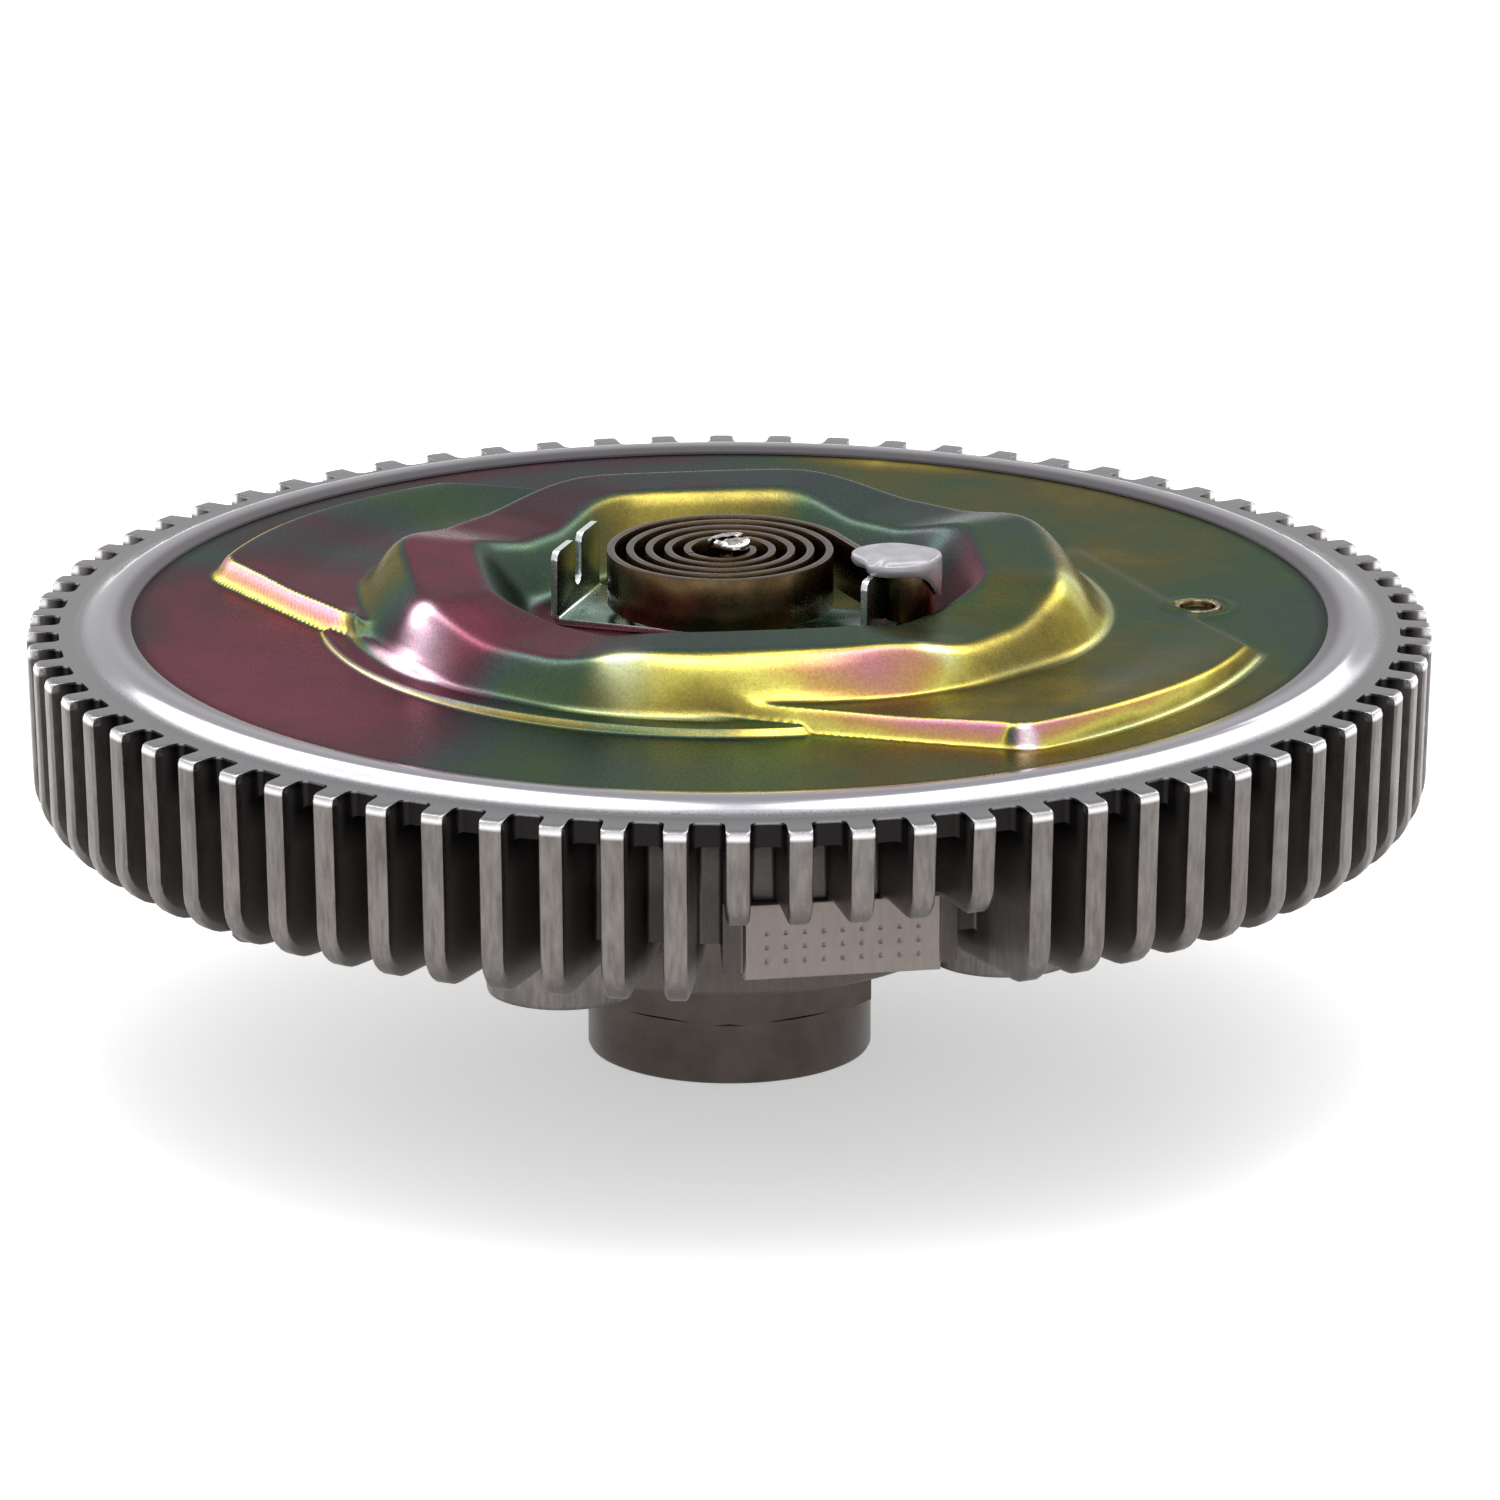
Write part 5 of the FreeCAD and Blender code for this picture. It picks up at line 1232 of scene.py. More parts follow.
@dataclass
class FrontCover:
    """Stamped cover: reservoir dome with an octagonal well, two wedge channels, terrace and filling hole."""

    radius: float = 88.4
    top_z: float = 62.6
    sheet_t: float = 1.5
    phase: float = 7.0
    foot_r: float = 52.5
    crest_r: float = 47.3
    dome_h: float = 8.9
    round_foot_r: float = 53.2
    round_crest_r: float = 49.4
    saddle_drop: float = 2.6
    corner_soft: float = 2.4
    well_corner_soft: float = 1.7
    turn_blend: float = 3.6
    crest_blend: float = 5.6
    foot_blend: float = 3.4
    well_blend: float = 3.0
    well_foot_blend: float = 2.0
    bead_h: float = 0.75
    bead_r: float = 53.4
    bead_w: float = 0.9
    bead_ends: Ends = (184.0, 192.0, 214.0, 226.0)
    well_crest_r: float = 34.4
    well_floor_r: float = 28.0
    well_floor_z: float = 62.0
    bush_r: float = 6.1
    terrace_r: float = 57.8
    terrace_h: float = 1.2
    terrace_from: float = 187.0
    terrace_to: float = 281.0
    terrace_run: float = 70.0
    terrace_wall: float = 2.2
    terrace_slope: float = 0.05
    terrace_blend: float = 0.5
    edge_angle: float = 268.0
    corner_angle: float = 303.0
    wedge_r: float = 76.5
    wedge_wall: float = 1.6
    wedge_start: float = 20.0
    crease_in: Point2 = (58.5, 26.5)
    crease_out: Point2 = (72.0, 349.5)
    wedge_grade: float = 0.042
    wedge_step: float = 0.35
    nose_step: float = 1.6
    nose_zone: Point2 = (60.0, 74.0)
    chord_share: float = 0.25
    chord_blend: float = 1.5
    edge_blend: float = 2.4
    plateau_blend: float = 1.0
    wall_blend: float = 1.2
    crease_blend: float = 0.8
    mirror_blend: float = 0.4
    sheet_blend: float = 0.9
    crease_back: float = 1.0
    crease_slope: float = 0.9
    wedge_top: float = 3.1
    mirror_angle: float = 234.0
    fill_r: float = 66.3
    fill_angle: float = 4.8
    ring_h: float = 0.4
    ring_r: float = 4.2
    ring_w: float = 0.9
    dish_zone: Point2 = (2.6, 3.9)
    dish_depth: float = 0.55
    angles: int = 800
    coarser: int = 4
    fine_pitch: float = 0.57
    inner_rings: int = 12
    outer_rings: int = 8

    def octagon(self, x: Array, y: Array, soft: float) -> Array:
        """Distance across to the nearest flat of the octagon, with soft corners."""
        total = np.zeros_like(x)
        for k in range(8):
            normal = polar(1.0, self.phase + 45.0 * k)
            total += np.exp((x * normal[0] + y * normal[1]) / soft - 60.0 / soft)
        return soft * np.log(total) + 60.0

    def crest_height(self, x: Array, y: Array) -> Array:
        """Height of the dome's crest: a wide valley on every second side of the octagon."""
        angle, radius = plan_polar(x, y)
        off = np.mod(angle - self.phase, 90.0) - 45.0
        along = radius * np.sin(np.radians(np.abs(off)))
        half = radius * math.sin(math.radians(22.5))
        inside = smooth_step((half - along) / half, -0.2, 0.8)
        return self.dome_h - self.saddle_drop * inside

    def outer_slope(self, x: Array, y: Array) -> Array:
        """Height over the cover of the dome's outer wall, without the crest."""
        wall = (self.foot_r - self.octagon(x, y, self.corner_soft)) / (self.foot_r - self.crest_r) * self.dome_h
        turned = (self.round_foot_r - np.hypot(x, y)) / (self.round_foot_r - self.round_crest_r) * self.dome_h
        return smooth_min(wall, turned, self.turn_blend)

    def wedge(self, x: Array, y: Array) -> Array:
        """Height over the cover of the first return channel."""
        start, corner = polar(self.foot_r, self.edge_angle), polar(self.wedge_r, self.corner_angle)
        along = (corner - start) / np.linalg.norm(corner - start)
        radius = np.hypot(x, y)
        past_crease = beside(x, y, polar(*self.crease_out), polar(*self.crease_in))
        past_chord = beside(x, y, polar(self.well_crest_r + 4.0, self.crease_in[1]), start - along * self.wedge_start)
        inside = smooth_min(beside(x, y, start, corner), self.wedge_r - radius, self.edge_blend)
        inside = smooth_min(inside, self.chord_share * past_chord, self.chord_blend)
        step = self.wedge_step + self.nose_step * smooth_step(radius, *self.nose_zone)
        plateau = smooth_min(step + self.wedge_grade * past_crease, self.wedge_top, self.plateau_blend)
        return smooth_min(smooth_min(self.wedge_wall * inside, plateau, self.wall_blend),
                          self.crease_slope * (past_crease + self.crease_back), self.crease_blend)

    def terrace(self, x: Array, y: Array) -> Array:
        """Height over the cover of the low concentric step, which grows towards its far end."""
        angle, radius = plan_polar(x, y)
        reach = np.minimum(angle - self.terrace_from, self.terrace_to - angle) * math.radians(1.0) * radius
        inside = np.minimum(self.terrace_r - radius, reach)
        grown = smooth_step(angle, self.terrace_from, self.terrace_from + self.terrace_run)
        rise = self.terrace_h * (0.45 + 0.35 * grown) + self.terrace_slope * np.clip(self.terrace_r - radius, 0.0, 6.0)
        return smooth_min(self.terrace_wall * inside, rise, self.terrace_blend)

    def bead(self, x: Array, y: Array) -> Array:
        """Height of the low bead that runs on from the second channel along the dome's foot."""
        angle, radius = plan_polar(x, y)
        return self.bead_h * window(angle, *self.bead_ends) * bell(radius, self.bead_r, self.bead_w)

    def height(self, x: Array, y: Array) -> Array:
        """Height of the sheet's upper side; the second channel mirrors the first."""
        dome = smooth_min(self.outer_slope(x, y), self.crest_height(x, y), self.crest_blend)
        second = self.wedge(*spun(x, -y, 2.0 * self.mirror_angle))
        raised = smooth_max(self.wedge(x, y), second, self.mirror_blend)
        raised = smooth_max(raised, self.terrace(x, y), self.terrace_blend)
        raised = smooth_max(raised, 0.0, self.sheet_blend)
        top = self.top_z + smooth_max(raised, dome, self.foot_blend)
        flats = self.octagon(x, y, self.well_corner_soft)
        slope = (self.top_z + self.dome_h - self.well_floor_z) / (self.well_crest_r - self.well_floor_r)
        well = smooth_max(self.well_floor_z + (flats - self.well_floor_r) * slope, self.well_floor_z,
                          self.well_foot_blend)
        top = smooth_min(top, well, self.well_blend) + self.bead(x, y)
        hole_x, hole_y = polar(self.fill_r, self.fill_angle)
        hole = np.hypot(x - hole_x, y - hole_y)
        dish = self.dish_depth * (1.0 - smooth_step(hole, *self.dish_zone))
        return top + self.ring_h * bell(hole, self.ring_r, self.ring_w) - dish

    def rings(self) -> Array:
        """Radii of the mesh's rings, closer where the sheet is formed."""
        inner = np.linspace(self.bush_r, self.well_floor_r - 1.0, self.inner_rings)
        middle = np.arange(self.well_floor_r - 0.4, self.wedge_r + 2.0, self.fine_pitch)
        outer = np.linspace(self.wedge_r + 2.6, self.radius, self.outer_rings)
        return np.concatenate([inner, middle, outer])

    def grid(self, radii: Array, count: int) -> tuple[Array, Array]:
        """Places of the points on rings."""
        turns = np.radians(np.arange(count) * 360.0 / count)
        return radii[:, None] * np.cos(turns)[None, :], radii[:, None] * np.sin(turns)[None, :]

    def normals(self, x: Array, y: Array) -> Array:
        """Directions of the sheet's upper side."""
        step = 0.1
        slope_x = (self.height(x + step, y) - self.height(x - step, y)) / (2.0 * step)
        slope_y = (self.height(x, y + step) - self.height(x, y - step)) / (2.0 * step)
        long = np.sqrt(1.0 + slope_x ** 2 + slope_y ** 2)
        return np.stack([-slope_x / long, -slope_y / long, 1.0 / long], axis=-1)

    def build(self) -> None:
        """Make the sheet, fine above and coarser below, and hand it over."""
        radii = self.rings()
        x, y = self.grid(radii, self.angles)
        z = self.height(x, y)
        film = ChromateMap(self)
        values = film.coating(x, y, z, self.normals(x, y))
        count, many = self.angles, len(radii)
        low_count = count // self.coarser
        low_radii = radii[np.unique(np.append(np.arange(0, many, 3), many - 1))]
        low_x, low_y = self.grid(low_radii, low_count)
        drop = self.sheet_t * np.minimum(1.0 / self.normals(low_x, low_y)[..., 2], 1.6)
        low_z = self.height(low_x, low_y) - drop
        points = np.concatenate([np.stack(part, axis=-1).reshape(-1, 3)
                                 for part in ((x, y, z), (low_x, low_y, low_z))])
        base, low_many = x.size, len(low_radii)
        faces = quads(many, count) + quads(low_many, low_count, base)
        for top_row, low_row in ((0, 0), (many - 1, low_many - 1)):
            for j in range(low_count):
                fine = [top_row * count + (self.coarser * j + k) % count for k in range(self.coarser + 1)]
                coarse = [base + low_row * low_count + (j + 1) % low_count, base + low_row * low_count + j]
                faces.append(fine + coarse)
        piece = MeshTools.make("cover_sheet", points.tolist(), faces, 50.0)
        # The second mesh value carries painted highlights.
        for name, above, below in zip((film.FILM, film.PAINTED_HIGHLIGHT), values, (film.under_film, 0.0)):
            both = np.concatenate([above.reshape(-1), np.full(low_x.size, below)])
            piece.data.attributes.new(name, "FLOAT", "POINT").data.foreach_set("value", both.astype(np.float32))
        hand_over(piece, "housing", "chromated_steel", Finish.CHROMATE, "front_cover")


@dataclass
class FillPlug:
    """Ball pressed into the filling hole, inside a rolled rim."""

    ball_r: float = 2.1
    sunk: float = 2.5
    rim_r: float = 3.35
    rim_round: float = 0.42
    top_z: float = 62.6
    shank_r: float = 2.32
    low_z: float = 60.9

    def build(self, cover: FrontCover) -> None:
        """Make the plug at the cover's filling hole and hand it over."""
        section = arc((0.0, self.top_z - self.sunk), self.ball_r, 90.0, -62.0, 8)
        section[0] = (0.0, section[0][1])
        section += arc((self.rim_r - self.rim_round, self.top_z - 0.05), self.rim_round, 200.0, -220.0, 8)
        section += [(self.rim_r, self.top_z - 1.0), (self.shank_r, self.top_z - 1.2),
                    (self.shank_r, self.low_z), (0.0, self.low_z)]
        piece = MeshTools.lathe("filling_plug", lambda _: section, 64, closed=False,
                                centre=polar(cover.fill_r, cover.fill_angle))
        hand_over(piece, "housing", "chromated_plug", Finish.PLUG, "fill_plug")


@dataclass
class HubShaft:
    """Steel hub: collar, hexagon with turned chamfers, a true thread inside, journal and rotor seat."""

    collar_r: float = 20.0
    collar_h: float = 9.3
    collar_round: float = 0.25
    flats: float = 40.0
    hex_top: float = 16.4
    corner_angle: float = 270.0
    chamfer: float = 1.2
    core_r: float = 14.19
    thread_depth: float = 0.8
    thread_pitch: float = 1.5
    thread_rows: int = 52
    thread_end: float = 1.0
    groove_share: float = 0.42
    drill_depth: float = 13.0
    drill_cone: float = 2.5
    lead_in: float = 1.2
    shoulder_r: float = 15.5
    journal_r: float = 12.5
    bearing_z: float = 20.0
    bearing_top: float = 35.0
    seat_r: float = 11.0
    top_z: float = 56.3
    edge: float = 0.8
    columns: int = 360

    def thread_wall(self, angle: float) -> Profile:
        """Wall of the threaded bore at one angle, from the mouth to the bottom."""
        wall = []
        for height in np.linspace(self.lead_in * 0.3, self.drill_depth, self.thread_rows + 1):
            turn = (height / self.thread_pitch - angle / 360.0) % 1.0
            groove = max(0.0, 1.0 - abs(turn - 0.5) / self.groove_share)
            fade = min(1.0, max(0.0, self.drill_depth - self.thread_end - height))
            funnel = max(0.0, self.lead_in - height)
            wall.append((max(self.core_r + self.thread_depth * groove * fade, self.core_r + funnel), height))
        return wall

    def profile(self, angle: float) -> Profile:
        """Whole section at one angle."""
        off = math.radians((angle - self.corner_angle + 30.0) % 60.0 - 30.0)
        sixth = math.radians(30.0)
        corner_r, flat_r = (self.flats / 2.0 / math.cos(turn) for turn in (sixth, sixth - abs(off)))
        cone_r = corner_r - self.chamfer
        rise = max(0.0, flat_r - cone_r) * math.tan(sixth)
        wrench_r = min(flat_r, cone_r)
        collar_r, collar_h, hex_top, edge = self.collar_r, self.collar_h, self.hex_top, self.collar_round
        foot_r = min(wrench_r, collar_r - edge) if wrench_r < collar_r else wrench_r
        return ([(self.core_r + self.lead_in, 0.0), (collar_r - 3 * edge, 0.0), (collar_r - edge, edge),
                 (collar_r, 3 * edge), (collar_r, collar_h - edge), (collar_r - edge, collar_h), (foot_r, collar_h),
                 (flat_r, collar_h + rise + 0.05), (flat_r, hex_top - rise - 0.05), (wrench_r, hex_top),
                 (self.shoulder_r + 0.4, hex_top), (self.shoulder_r, hex_top + 0.4),
                 (self.shoulder_r, self.bearing_z), (self.journal_r, self.bearing_z),
                 (self.journal_r, self.bearing_top), (self.seat_r, self.bearing_top),
                 (self.seat_r, self.top_z - self.edge), (self.seat_r - self.edge, self.top_z), (0.0, self.top_z),
                 (0.0, self.drill_depth + self.drill_cone)]
                + self.thread_wall(angle)[::-1])

    def build(self) -> None:
        """Make the hub and hand it over."""
        piece = MeshTools.lathe("hub_with_hexagon", self.profile, self.columns, closed=True, sharp_degrees=28.0)
        hand_over(piece, "hub", "hub_steel", Finish.HUB, "hub_shaft")


@dataclass
class BimetalCoil:
    """Spiral bimetal strip; its inner end turns with the valve shaft, and the rest stays on the cover."""

    outer_r: float = 17.25
    strip_t: float = 1.1
    pitch: float = 2.7
    half_turns: int = 10
    low_z: float = 65.2
    high_z: float = 73.0
    lug_r: float = 23.0
    bracket_angle: float = 161.0
    hook_r: float = 3.1
    hook_lead: float = 1.6
    hook_sweep: float = 250.0
    hook_steps: int = 40
    tab_reach: float = 1.9
    bend_r: float = 0.9
    bend_steps: int = 6
    slide_turn: float = 75.0
    gap: float = 0.04
    edge: float = 0.16

    def leave_angle(self) -> float:
        """Angle at which the strip leaves the coil towards the lug."""
        return self.bracket_angle + 180.0 + math.degrees(math.acos((self.outer_r - self.strip_t / 2) / self.lug_r))

    def arcs(self) -> list[tuple[Array, float, float]]:
        """Half turns from the outside in: centre, radius and starting angle."""
        found = []
        centre, radius, side = np.zeros(2), self.outer_r - self.strip_t / 2.0, self.leave_angle()
        for _ in range(self.half_turns):
            found.append((centre, radius, side))
            centre = centre + polar(self.pitch / 2.0, side + 180.0)
            radius -= self.pitch / 2.0
            side += 180.0
        return found

    def arc_points(self, arc: tuple[Array, float, float], begin: float, end: float) -> list[Array]:
        """Points along part of a half turn."""
        count = max(3, int(abs(end - begin) / 5.0))
        return [arc[0] + polar(arc[1], arc[2] + begin + (end - begin) * k / count) for k in range(count + 1)]

    def hook_points(self) -> list[Array]:
        """Points of the hook, from its free end to the tail."""
        leave = self.leave_angle()
        start = polar(self.lug_r, self.bracket_angle + 180.0) + polar(self.hook_lead, leave - 90.0)
        centre = start + polar(self.hook_r, leave)
        return [centre + polar(self.hook_r, leave + 180.0 + self.hook_sweep * share)
                for share in np.linspace(1.0, 0.0, self.hook_steps + 1)]

    def band(self, name: str, path: list[Array], thickness: float, low: float, high: float) -> Piece:
        """Make a strip on edge along a path in the plan."""
        places = np.array([path[0]] + [there for here, there in zip(path, path[1:])
                                       if np.linalg.norm(there - here) > 1e-4])
        ahead = np.gradient(places, axis=0)
        ahead /= np.linalg.norm(ahead, axis=1)[:, None]
        across = np.stack([-ahead[:, 1], ahead[:, 0]], axis=1)
        half = thickness / 2.0
        corner = [(half - inset, height) for inset, height in ((self.edge, 0.0), (0.3 * self.edge, 0.3 * self.edge),
                                                               (0.0, self.edge))]
        section = [(-x, low + z) for x, z in corner] + [(-x, high - z) for x, z in corner[::-1]]
        section += [(x, high - z) for x, z in corner] + [(x, low + z) for x, z in corner[::-1]]
        points = [(*(place + side * offset), z) for place, side in zip(places, across) for offset, z in section]
        size = len(section)
        faces = quads(len(places), size) + [list(range(size)), [len(points) - size + k for k in range(size)]]
        return MeshTools.make(name, points, faces, 50.0)

    def build(self) -> None:
        """Make both parts of the strip and hand them over."""
        arcs = self.arcs()
        outer = self.hook_points()
        for arc in arcs[:-1]:
            outer += self.arc_points(arc, 0.0, 180.0)
        piece = self.band("coil_strip", outer, self.strip_t, self.low_z, self.high_z)
        hand_over(piece, "housing", "bimetal", Finish.STRIP, "bimetal_coil")
        inner = self.arc_points(arcs[-2], 180.0 - self.slide_turn, 180.0)
        last = arcs[-1]
        lead = math.degrees(self.bend_r / last[1])
        inner += self.arc_points(last, 0.0, 180.0 - lead)
        corner = last[0] + polar(last[1], last[2] + 180.0)
        reach = np.linalg.norm(corner)
        direction = corner / reach
        before = inner[-1]
        for share in np.arange(1, self.bend_steps) / self.bend_steps:
            inner.append((1 - share) ** 2 * before + 2 * share * (1 - share) * corner
                         + share ** 2 * (corner - direction * self.bend_r))
        inner += [direction * r for r in np.linspace(reach - self.bend_r, -self.tab_reach, 8)]
        piece = self.band("coil_inner_end", inner, self.strip_t - self.gap, self.low_z + self.gap,
                          self.high_z - self.gap)
        hand_over(piece, "valve", "bimetal", Finish.STRIP, "bimetal_coil")


@dataclass
class CoilBracket:
    """Steel strap bent up into two forked lugs."""

    angle: float = 161.0
    sheet_t: float = 1.0
    lug_r: float = 23.0
    lug_w: float = 18.0
    lug_top: float = 72.6
    slot_w: float = 2.5
    slot_z: float = 65.6
    tip_r: float = 1.4
    floor_z: float = 62.0
    hole_r: float = 6.3
    bend_r: float = 1.6
    edge: float = 0.16
    steps: int = 10
    bend_steps: int = 6
    hole_steps: int = 24

    def lug_outline(self) -> list[Point2]:
        """Outline of one lug above its bend, as place along the bend line and height."""
        outer, inner = self.lug_w / 2.0, self.slot_w / 2.0
        low = self.floor_z + self.bend_r
        high = self.lug_top - self.tip_r
        right = arc((inner + self.tip_r, high), self.tip_r, 180.0, -90.0, self.steps)
        right += arc((outer - self.tip_r, high), self.tip_r, 90.0, -90.0, self.steps)
        slot = arc((0.0, self.slot_z + inner), inner, 180.0, 180.0, self.steps)
        return [(-outer, low)] + [(-x, z) for x, z in reversed(right)] + slot + right + [(outer, low)]

    def build(self) -> None:
        """Make the bracket's outer surface, thicken it inwards and hand it over."""
        points: list[Point3] = []
        faces: list[list[int]] = []

        def at(x: float, y: float, z: float) -> int:
            """Add a point given in the bracket's own frame, or find it."""
            spot = (*spun(x, y, self.angle), z)
            for number, point in enumerate(points):
                if max(abs(a - b) for a, b in zip(point, spot)) < 1e-6:
                    return number
            points.append(spot)
            return len(points) - 1

        half = self.lug_w / 2.0
        outer_x = self.lug_r + self.sheet_t / 2.0
        bend_x = outer_x - self.bend_r
        for side in (-1.0, 1.0):
            ring = [at(side * x, y, self.floor_z)
                    for x, y in arc((0.0, 0.0), self.hole_r, -90.0, 180.0, self.hole_steps)]
            faces.append([at(0, -half, self.floor_z)] + ring + [at(0, half, self.floor_z),
                         at(side * bend_x, half, self.floor_z), at(side * bend_x, -half, self.floor_z)])
            rows = [(at(side * x, -half, z), at(side * x, half, z))
                    for x, z in arc((bend_x, self.floor_z + self.bend_r), self.bend_r, -90.0, 90.0,
                                    self.bend_steps)]
            for (a, b), (c, d) in zip(rows, rows[1:]):
                faces.append([a, b, d, c])
            faces.append([at(side * outer_x, y, z) for y, z in self.lug_outline()])
        piece = MeshTools.make("bracket_strap", points, faces)
        with MeshTools.opened(piece.data) as work:
            level = [face for face in work.faces if abs(face.normal.z) > 0.9]
            if level[0].normal.z > 0.0:
                bmesh.ops.reverse_faces(work, faces=work.faces)
        MeshTools.change(piece, "SOLIDIFY", thickness=self.sheet_t * MM, offset=-1.0, use_even_offset=True)
        MeshTools.face_outwards(piece.data)
        MeshTools.change(piece, "BEVEL", width=self.edge * MM, segments=2, limit_method="ANGLE",
                         angle_limit=math.radians(40.0))
        MeshTools.shade(piece, 40.0)
        hand_over(piece, "housing", "zinc_steel", Finish.ZINC, "coil_bracket")


@dataclass
class SealantDab:
    """Dab of sealant pressed on the hook, with a fold where it meets the lug and a run down one side."""

    radius: float = 6.3
    top_z: float = 74.35
    under_z: float = 73.0
    lug_r: float = 23.0
    out: float = 1.6
    bracket_angle: float = 161.0
    run_angle: float = 10.0
    run_depth: float = 4.6
    fold_angle: float = 205.0
    fold: Point2 = (-2.1, -4.4)
    fold_width: float = 26.0
    fold_bite: float = 0.22
    fold_dip: float = 0.5
    run_width: float = 42.0
    skirt: float = 0.35
    rim_round: float = 0.5
    bowl_depth: float = 0.28
    crease_depth: float = 0.8
    crease_width: float = 0.3
    hang: float = 0.7
    creases: tuple[Point2, ...] = ((8.0, 7.5), (75.0, 2.4), (215.0, 4.0), (300.0, 3.0))

    def crease(self, x: float, y: float) -> float:
        """Depth of the creases that meet at the fold."""
        deepest = 0.0
        for angle, reach in self.creases:
            run, side = spun(x - self.fold[0], y - self.fold[1], -angle)
            past = max(0.0, -run, run - reach)
            depth = math.exp(-((side ** 2 + past ** 2) / self.crease_width))
            deepest = max(deepest, depth * (1.0 - 0.5 * max(0.0, run) / reach))
        return deepest

    @staticmethod
    def near(angle: float, middle: float, width: float) -> float:
        """Bell of height 1 round an angle."""
        return math.exp(-(((angle - middle + 180.0) % 360.0 - 180.0) / width) ** 2)

    def profile(self, angle: float) -> Profile:
        """Section of the dab at one angle."""
        fold = self.near(angle, self.fold_angle, self.fold_width)
        wobble = 0.25 * math.sin(math.radians(3.0 * angle + 40.0)) + 0.15 * math.sin(math.radians(5.0 * angle))
        rim = self.radius * (1.0 - self.fold_bite * fold) + wobble
        inner_r, edge_z, hang = rim - self.rim_round, self.top_z - self.fold_dip * fold, self.hang
        low = self.under_z - (self.skirt + self.run_depth * self.near(angle, self.run_angle, self.run_width))
        section: Profile = [(0.0, self.top_z - self.bowl_depth)]
        for share in np.arange(1, 17) / 16:
            bowl = self.bowl_depth * (1.0 - smooth_step(share, 0.0, 0.75))
            dent = self.crease_depth * self.crease(*polar(inner_r * share, angle))
            section.append((inner_r * share, self.top_z - bowl - self.fold_dip * fold * share ** 2 - dent))
        section += arc((inner_r, edge_z - self.rim_round), self.rim_round, 90.0, -90.0, 4)[1:]
        return section + [
            (rim + 0.06, (edge_z + low) / 2.0), (rim - 0.1, low + 0.25), (rim - hang / 2, low),
            (rim - hang, low + 0.25), (rim - hang, self.under_z - 0.15), (rim * 0.5, self.under_z - 0.02),
            (0.0, self.under_z - 0.02)]

    def build(self) -> None:
        """Make the dab and hand it over."""
        piece = MeshTools.lathe("sealant_dab", self.profile, 144, closed=False, sharp_degrees=60.0,
                                centre=polar(self.lug_r + self.out, self.bracket_angle + 180.0))
        hand_over(piece, "housing", "sealant", Finish.SEALANT, "anchor_sealant")


@dataclass
class ValvePin:
    """Valve shaft with a slotted neck, staked over the coil's inner end."""

    radius: float = 3.0
    neck_r: float = 2.2
    neck_z: float = 64.9
    top_z: float = 74.7
    slot_z: float = 65.1
    slot_w: float = 1.2
    low_z: float = 58.65
    stud_r: float = 2.0
    arm_top: float = 59.8
    groove_r: float = 2.2
    groove_low: float = 61.75
    groove_high: float = 62.85

    def profile(self, angle: float, slot_angle: float) -> Profile:
        """Section at one angle; the staked top swells beside the slot."""
        off = math.radians(angle - slot_angle)
        swell = 0.75 + 0.3 * abs(math.sin(off)) ** 1.5 + 0.16 * math.sin(3.0 * off + 1.0)
        uneven = 0.14 * math.sin(2.0 * off + 0.6)
        neck, top = self.neck_r, self.top_z
        return [(0.0, self.low_z), (self.stud_r, self.low_z), (self.stud_r, self.arm_top),
                (self.radius, self.arm_top), (self.radius, self.groove_low), (self.groove_r, self.groove_low),
                (self.groove_r, self.groove_high), (self.radius, self.groove_high),
                (self.radius, self.neck_z - 0.2), (self.radius - 0.2, self.neck_z), (neck, self.neck_z),
                (neck, top - 3.0), (neck + 0.5 * swell, top - 2.5), (neck + 0.7 * swell, top - 1.8),
                (neck + swell, top - 1.1), (neck + 0.9 * swell, top - 0.6 + uneven),
                (neck + 0.5 * swell - 0.2, top - 0.22 + uneven), (neck * 0.75, top - 0.3 - uneven),
                (neck * 0.4, top - 0.14), (0.0, top - 0.4)]

    def build(self, coil: BimetalCoil) -> None:
        """Make the pin with its slot in line with the coil's inner end, and hand it over."""
        angle = coil.leave_angle()
        piece = MeshTools.lathe("valve_pin", lambda a: self.profile(a, angle), 72, closed=False)
        reach = 2.0 * self.radius
        along, across = polar(reach, angle), polar(self.slot_w / 2.0, angle + 90.0)
        outline = [along + across, -along + across, -along - across, along - across]
        MeshTools.combine(piece, MeshTools.prism("slot", outline, self.slot_z, self.top_z + 1.0), "DIFFERENCE")
        MeshTools.merge(piece)
        MeshTools.shade(piece, 40.0)
        hand_over(piece, "valve", "bright_steel", Finish.STAKED, "valve_shaft")


class InnerParts:
    """Parts inside the clutch that keep their plain solids and get a finish."""

    NODES = {
        Finish.ROTOR: ("rotor",), Finish.BEARING: ("bearing_inner_race", "bearing_outer_race"),
        Finish.BALL: ("bearing_balls",), Finish.PLATE: ("bearing_cage", "pump_plate", "valve_arm"),
        Finish.RUBBER: ("bearing_seal_rear", "bearing_seal_front", "cover_seal", "valve_shaft_o_ring"),
        Finish.SPRING: ("bearing_retaining_ring",), Finish.WIPER: ("pump_wipers",),
        Finish.RIVET: ("wiper_rivets",), Finish.BUSH: ("valve_bushing",)}

    def dress(self) -> None:
        """Give every kept node its finish."""
        for finish, names in self.NODES.items():
            for name in names:
                finish.dress(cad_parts[name])
                log.info("%s dressed as %s", name, finish.value.name)


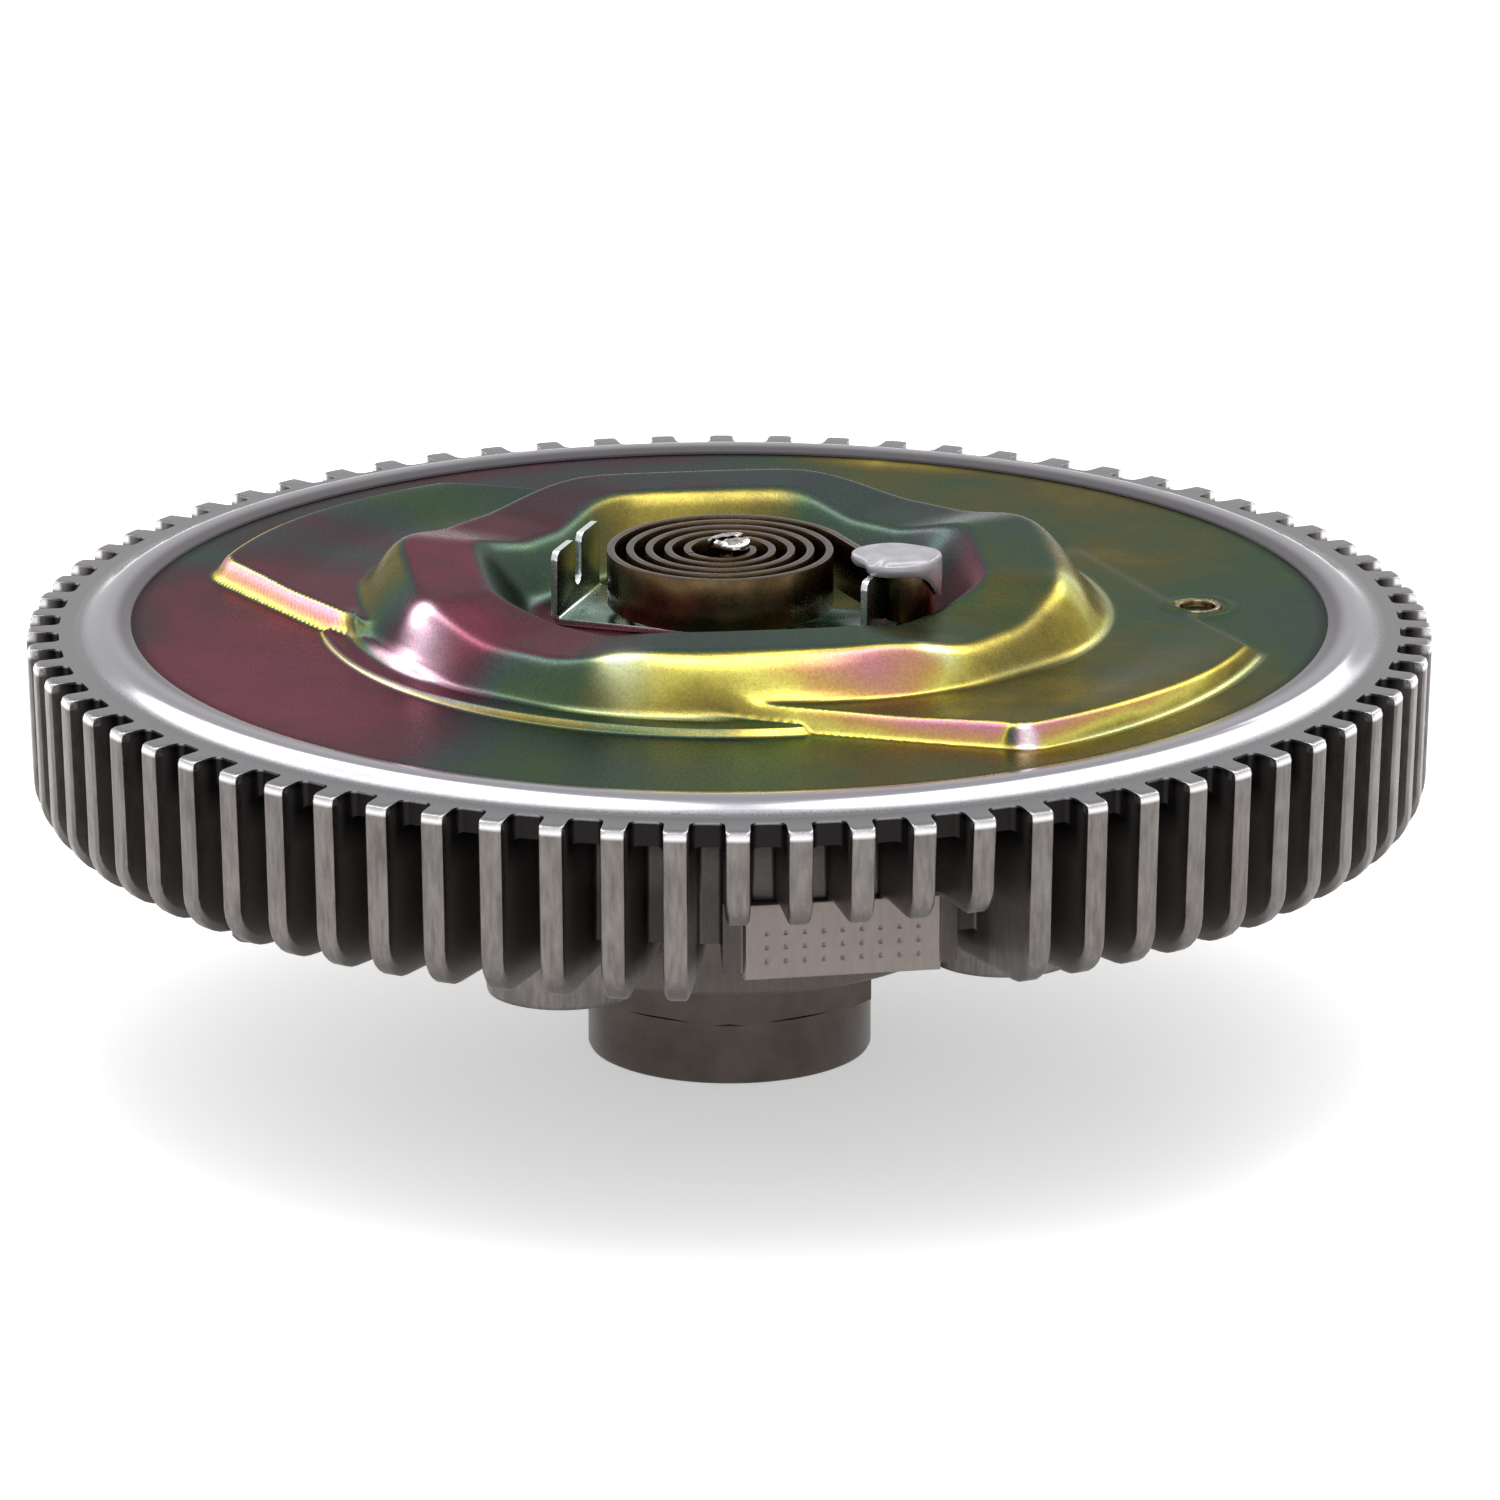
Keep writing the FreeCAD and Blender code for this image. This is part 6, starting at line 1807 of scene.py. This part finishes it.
@dataclass
class Studio:
    """Pale floor, soft lights and the camera at the photograph's angle."""

    LAMPS = (("overhead_left", (-0.33, 0.475, 1.5), (0.3, 2.7), 3.8),
             ("overhead_right", (0.37, 0.475, 1.5), (0.28, 2.7), 3.8),
             ("behind_left", (-1.2, 1.08, 0.87), (0.8, 0.5), 2.6),
             ("behind_right", (0.8, 1.45, 0.95), (0.5, 0.5), 2.6),
             ("front_low", (0.0, -2.6, 0.45), (3.0, 0.7), 0.6))

    aim: Point3 = (2.9, -5.1, 44.8)
    distance: float = 2673.0
    elevation: float = 16.86
    focal: float = 455.5
    sensor: float = 36.0
    floor_size: float = 30.0
    floor_glow: float = 0.45

    def camera(self) -> None:
        """Place the camera."""
        data = bpy.data.cameras.new("view")
        data.lens = self.focal
        data.sensor_width = self.sensor
        data.clip_end = 100.0
        camera = bpy.data.objects.new("view", data)
        tilt = math.radians(self.elevation)
        back = Vector((0.0, -math.cos(tilt), math.sin(tilt))) * self.distance
        camera.location = (Vector(self.aim) + back) * MM
        camera.rotation_euler = (math.radians(90.0) - tilt, 0.0, 0.0)
        bpy.context.scene.collection.objects.link(camera)
        bpy.context.scene.camera = camera

    def lamp(self, name: str, place: Sequence[float], size: Sequence[float], radiance: float) -> None:
        """Place a soft rectangular lamp that shines at the clutch.

        Args:
            name: the lamp's name.
            place: its centre in metres.
            size: its width and height in metres.
            radiance: how bright its face is, where white paper in full light is 1.
        """
        data = bpy.data.lights.new(name, "AREA")
        data.shape = "RECTANGLE"
        data.size, data.size_y = size
        data.energy = radiance * size[0] * size[1] * math.pi
        lamp = bpy.data.objects.new(name, data)
        lamp.location = place
        aim = Vector((0.0, 0.0, 0.05)) - Vector(place)
        lamp.rotation_euler = aim.to_track_quat("-Z", "Y").to_euler()
        bpy.context.scene.collection.objects.link(lamp)

    def world(self) -> None:
        """Even, pale surroundings."""
        world = bpy.data.worlds.new("studio")
        world.use_nodes = True
        tree = world.node_tree
        tree.nodes.clear()
        ground = tree.nodes.new("ShaderNodeBackground")
        tree.links.new(ground.outputs[0], tree.nodes.new("ShaderNodeOutputWorld").inputs["Surface"])
        bpy.context.scene.world = world

    def floor(self) -> None:
        """Lay the pale floor."""
        half = self.floor_size / 2.0 / MM
        corners = [(-half, -half, 0.0), (half, -half, 0.0), (half, half, 0.0), (-half, half, 0.0)]
        piece = MeshTools.make("floor", corners, [[0, 1, 2, 3]])
        sheet = Shading("pale_floor")
        colour = sheet.mix(sheet.span(sheet.noise(60.0), 0.3, 0.7), (0.9, 0.9, 0.9, 1.0), (0.92, 0.92, 0.92, 1.0))
        path = sheet.add("LightPath")
        seen = sheet.math("MAXIMUM", path.outputs["Is Camera Ray"], path.outputs["Is Glossy Ray"])
        seen = sheet.math("MAXIMUM", seen, path.outputs["Is Transmission Ray"])
        piece.data.materials.append(sheet.finish(
            Base_Color=colour, Roughness=0.9, Specular_IOR_Level=0.1, Emission_Color=(1.0, 1.0, 1.0, 1.0),
            Emission_Strength=sheet.times(seen, self.floor_glow)))

    def build(self) -> None:
        """Set up the whole studio."""
        bpy.context.scene.view_settings.view_transform = "Standard"
        self.camera()
        self.world()
        self.floor()
        for name, place, size, radiance in self.LAMPS:
            self.lamp(name, place, size, radiance)


def main() -> None:
    """Build the clutch's pieces in order."""
    logging.basicConfig(level=logging.INFO, format="%(name)s %(message)s")
    Studio().build()
    cover = FrontCover()
    coil = BimetalCoil()
    FinnedHousing().build()
    cover.build()
    FillPlug().build(cover)
    HubShaft().build()
    coil.build()
    CoilBracket().build()
    SealantDab().build()
    ValvePin().build(coil)
    InnerParts().dress()


if __name__ == "__main__":
    main()
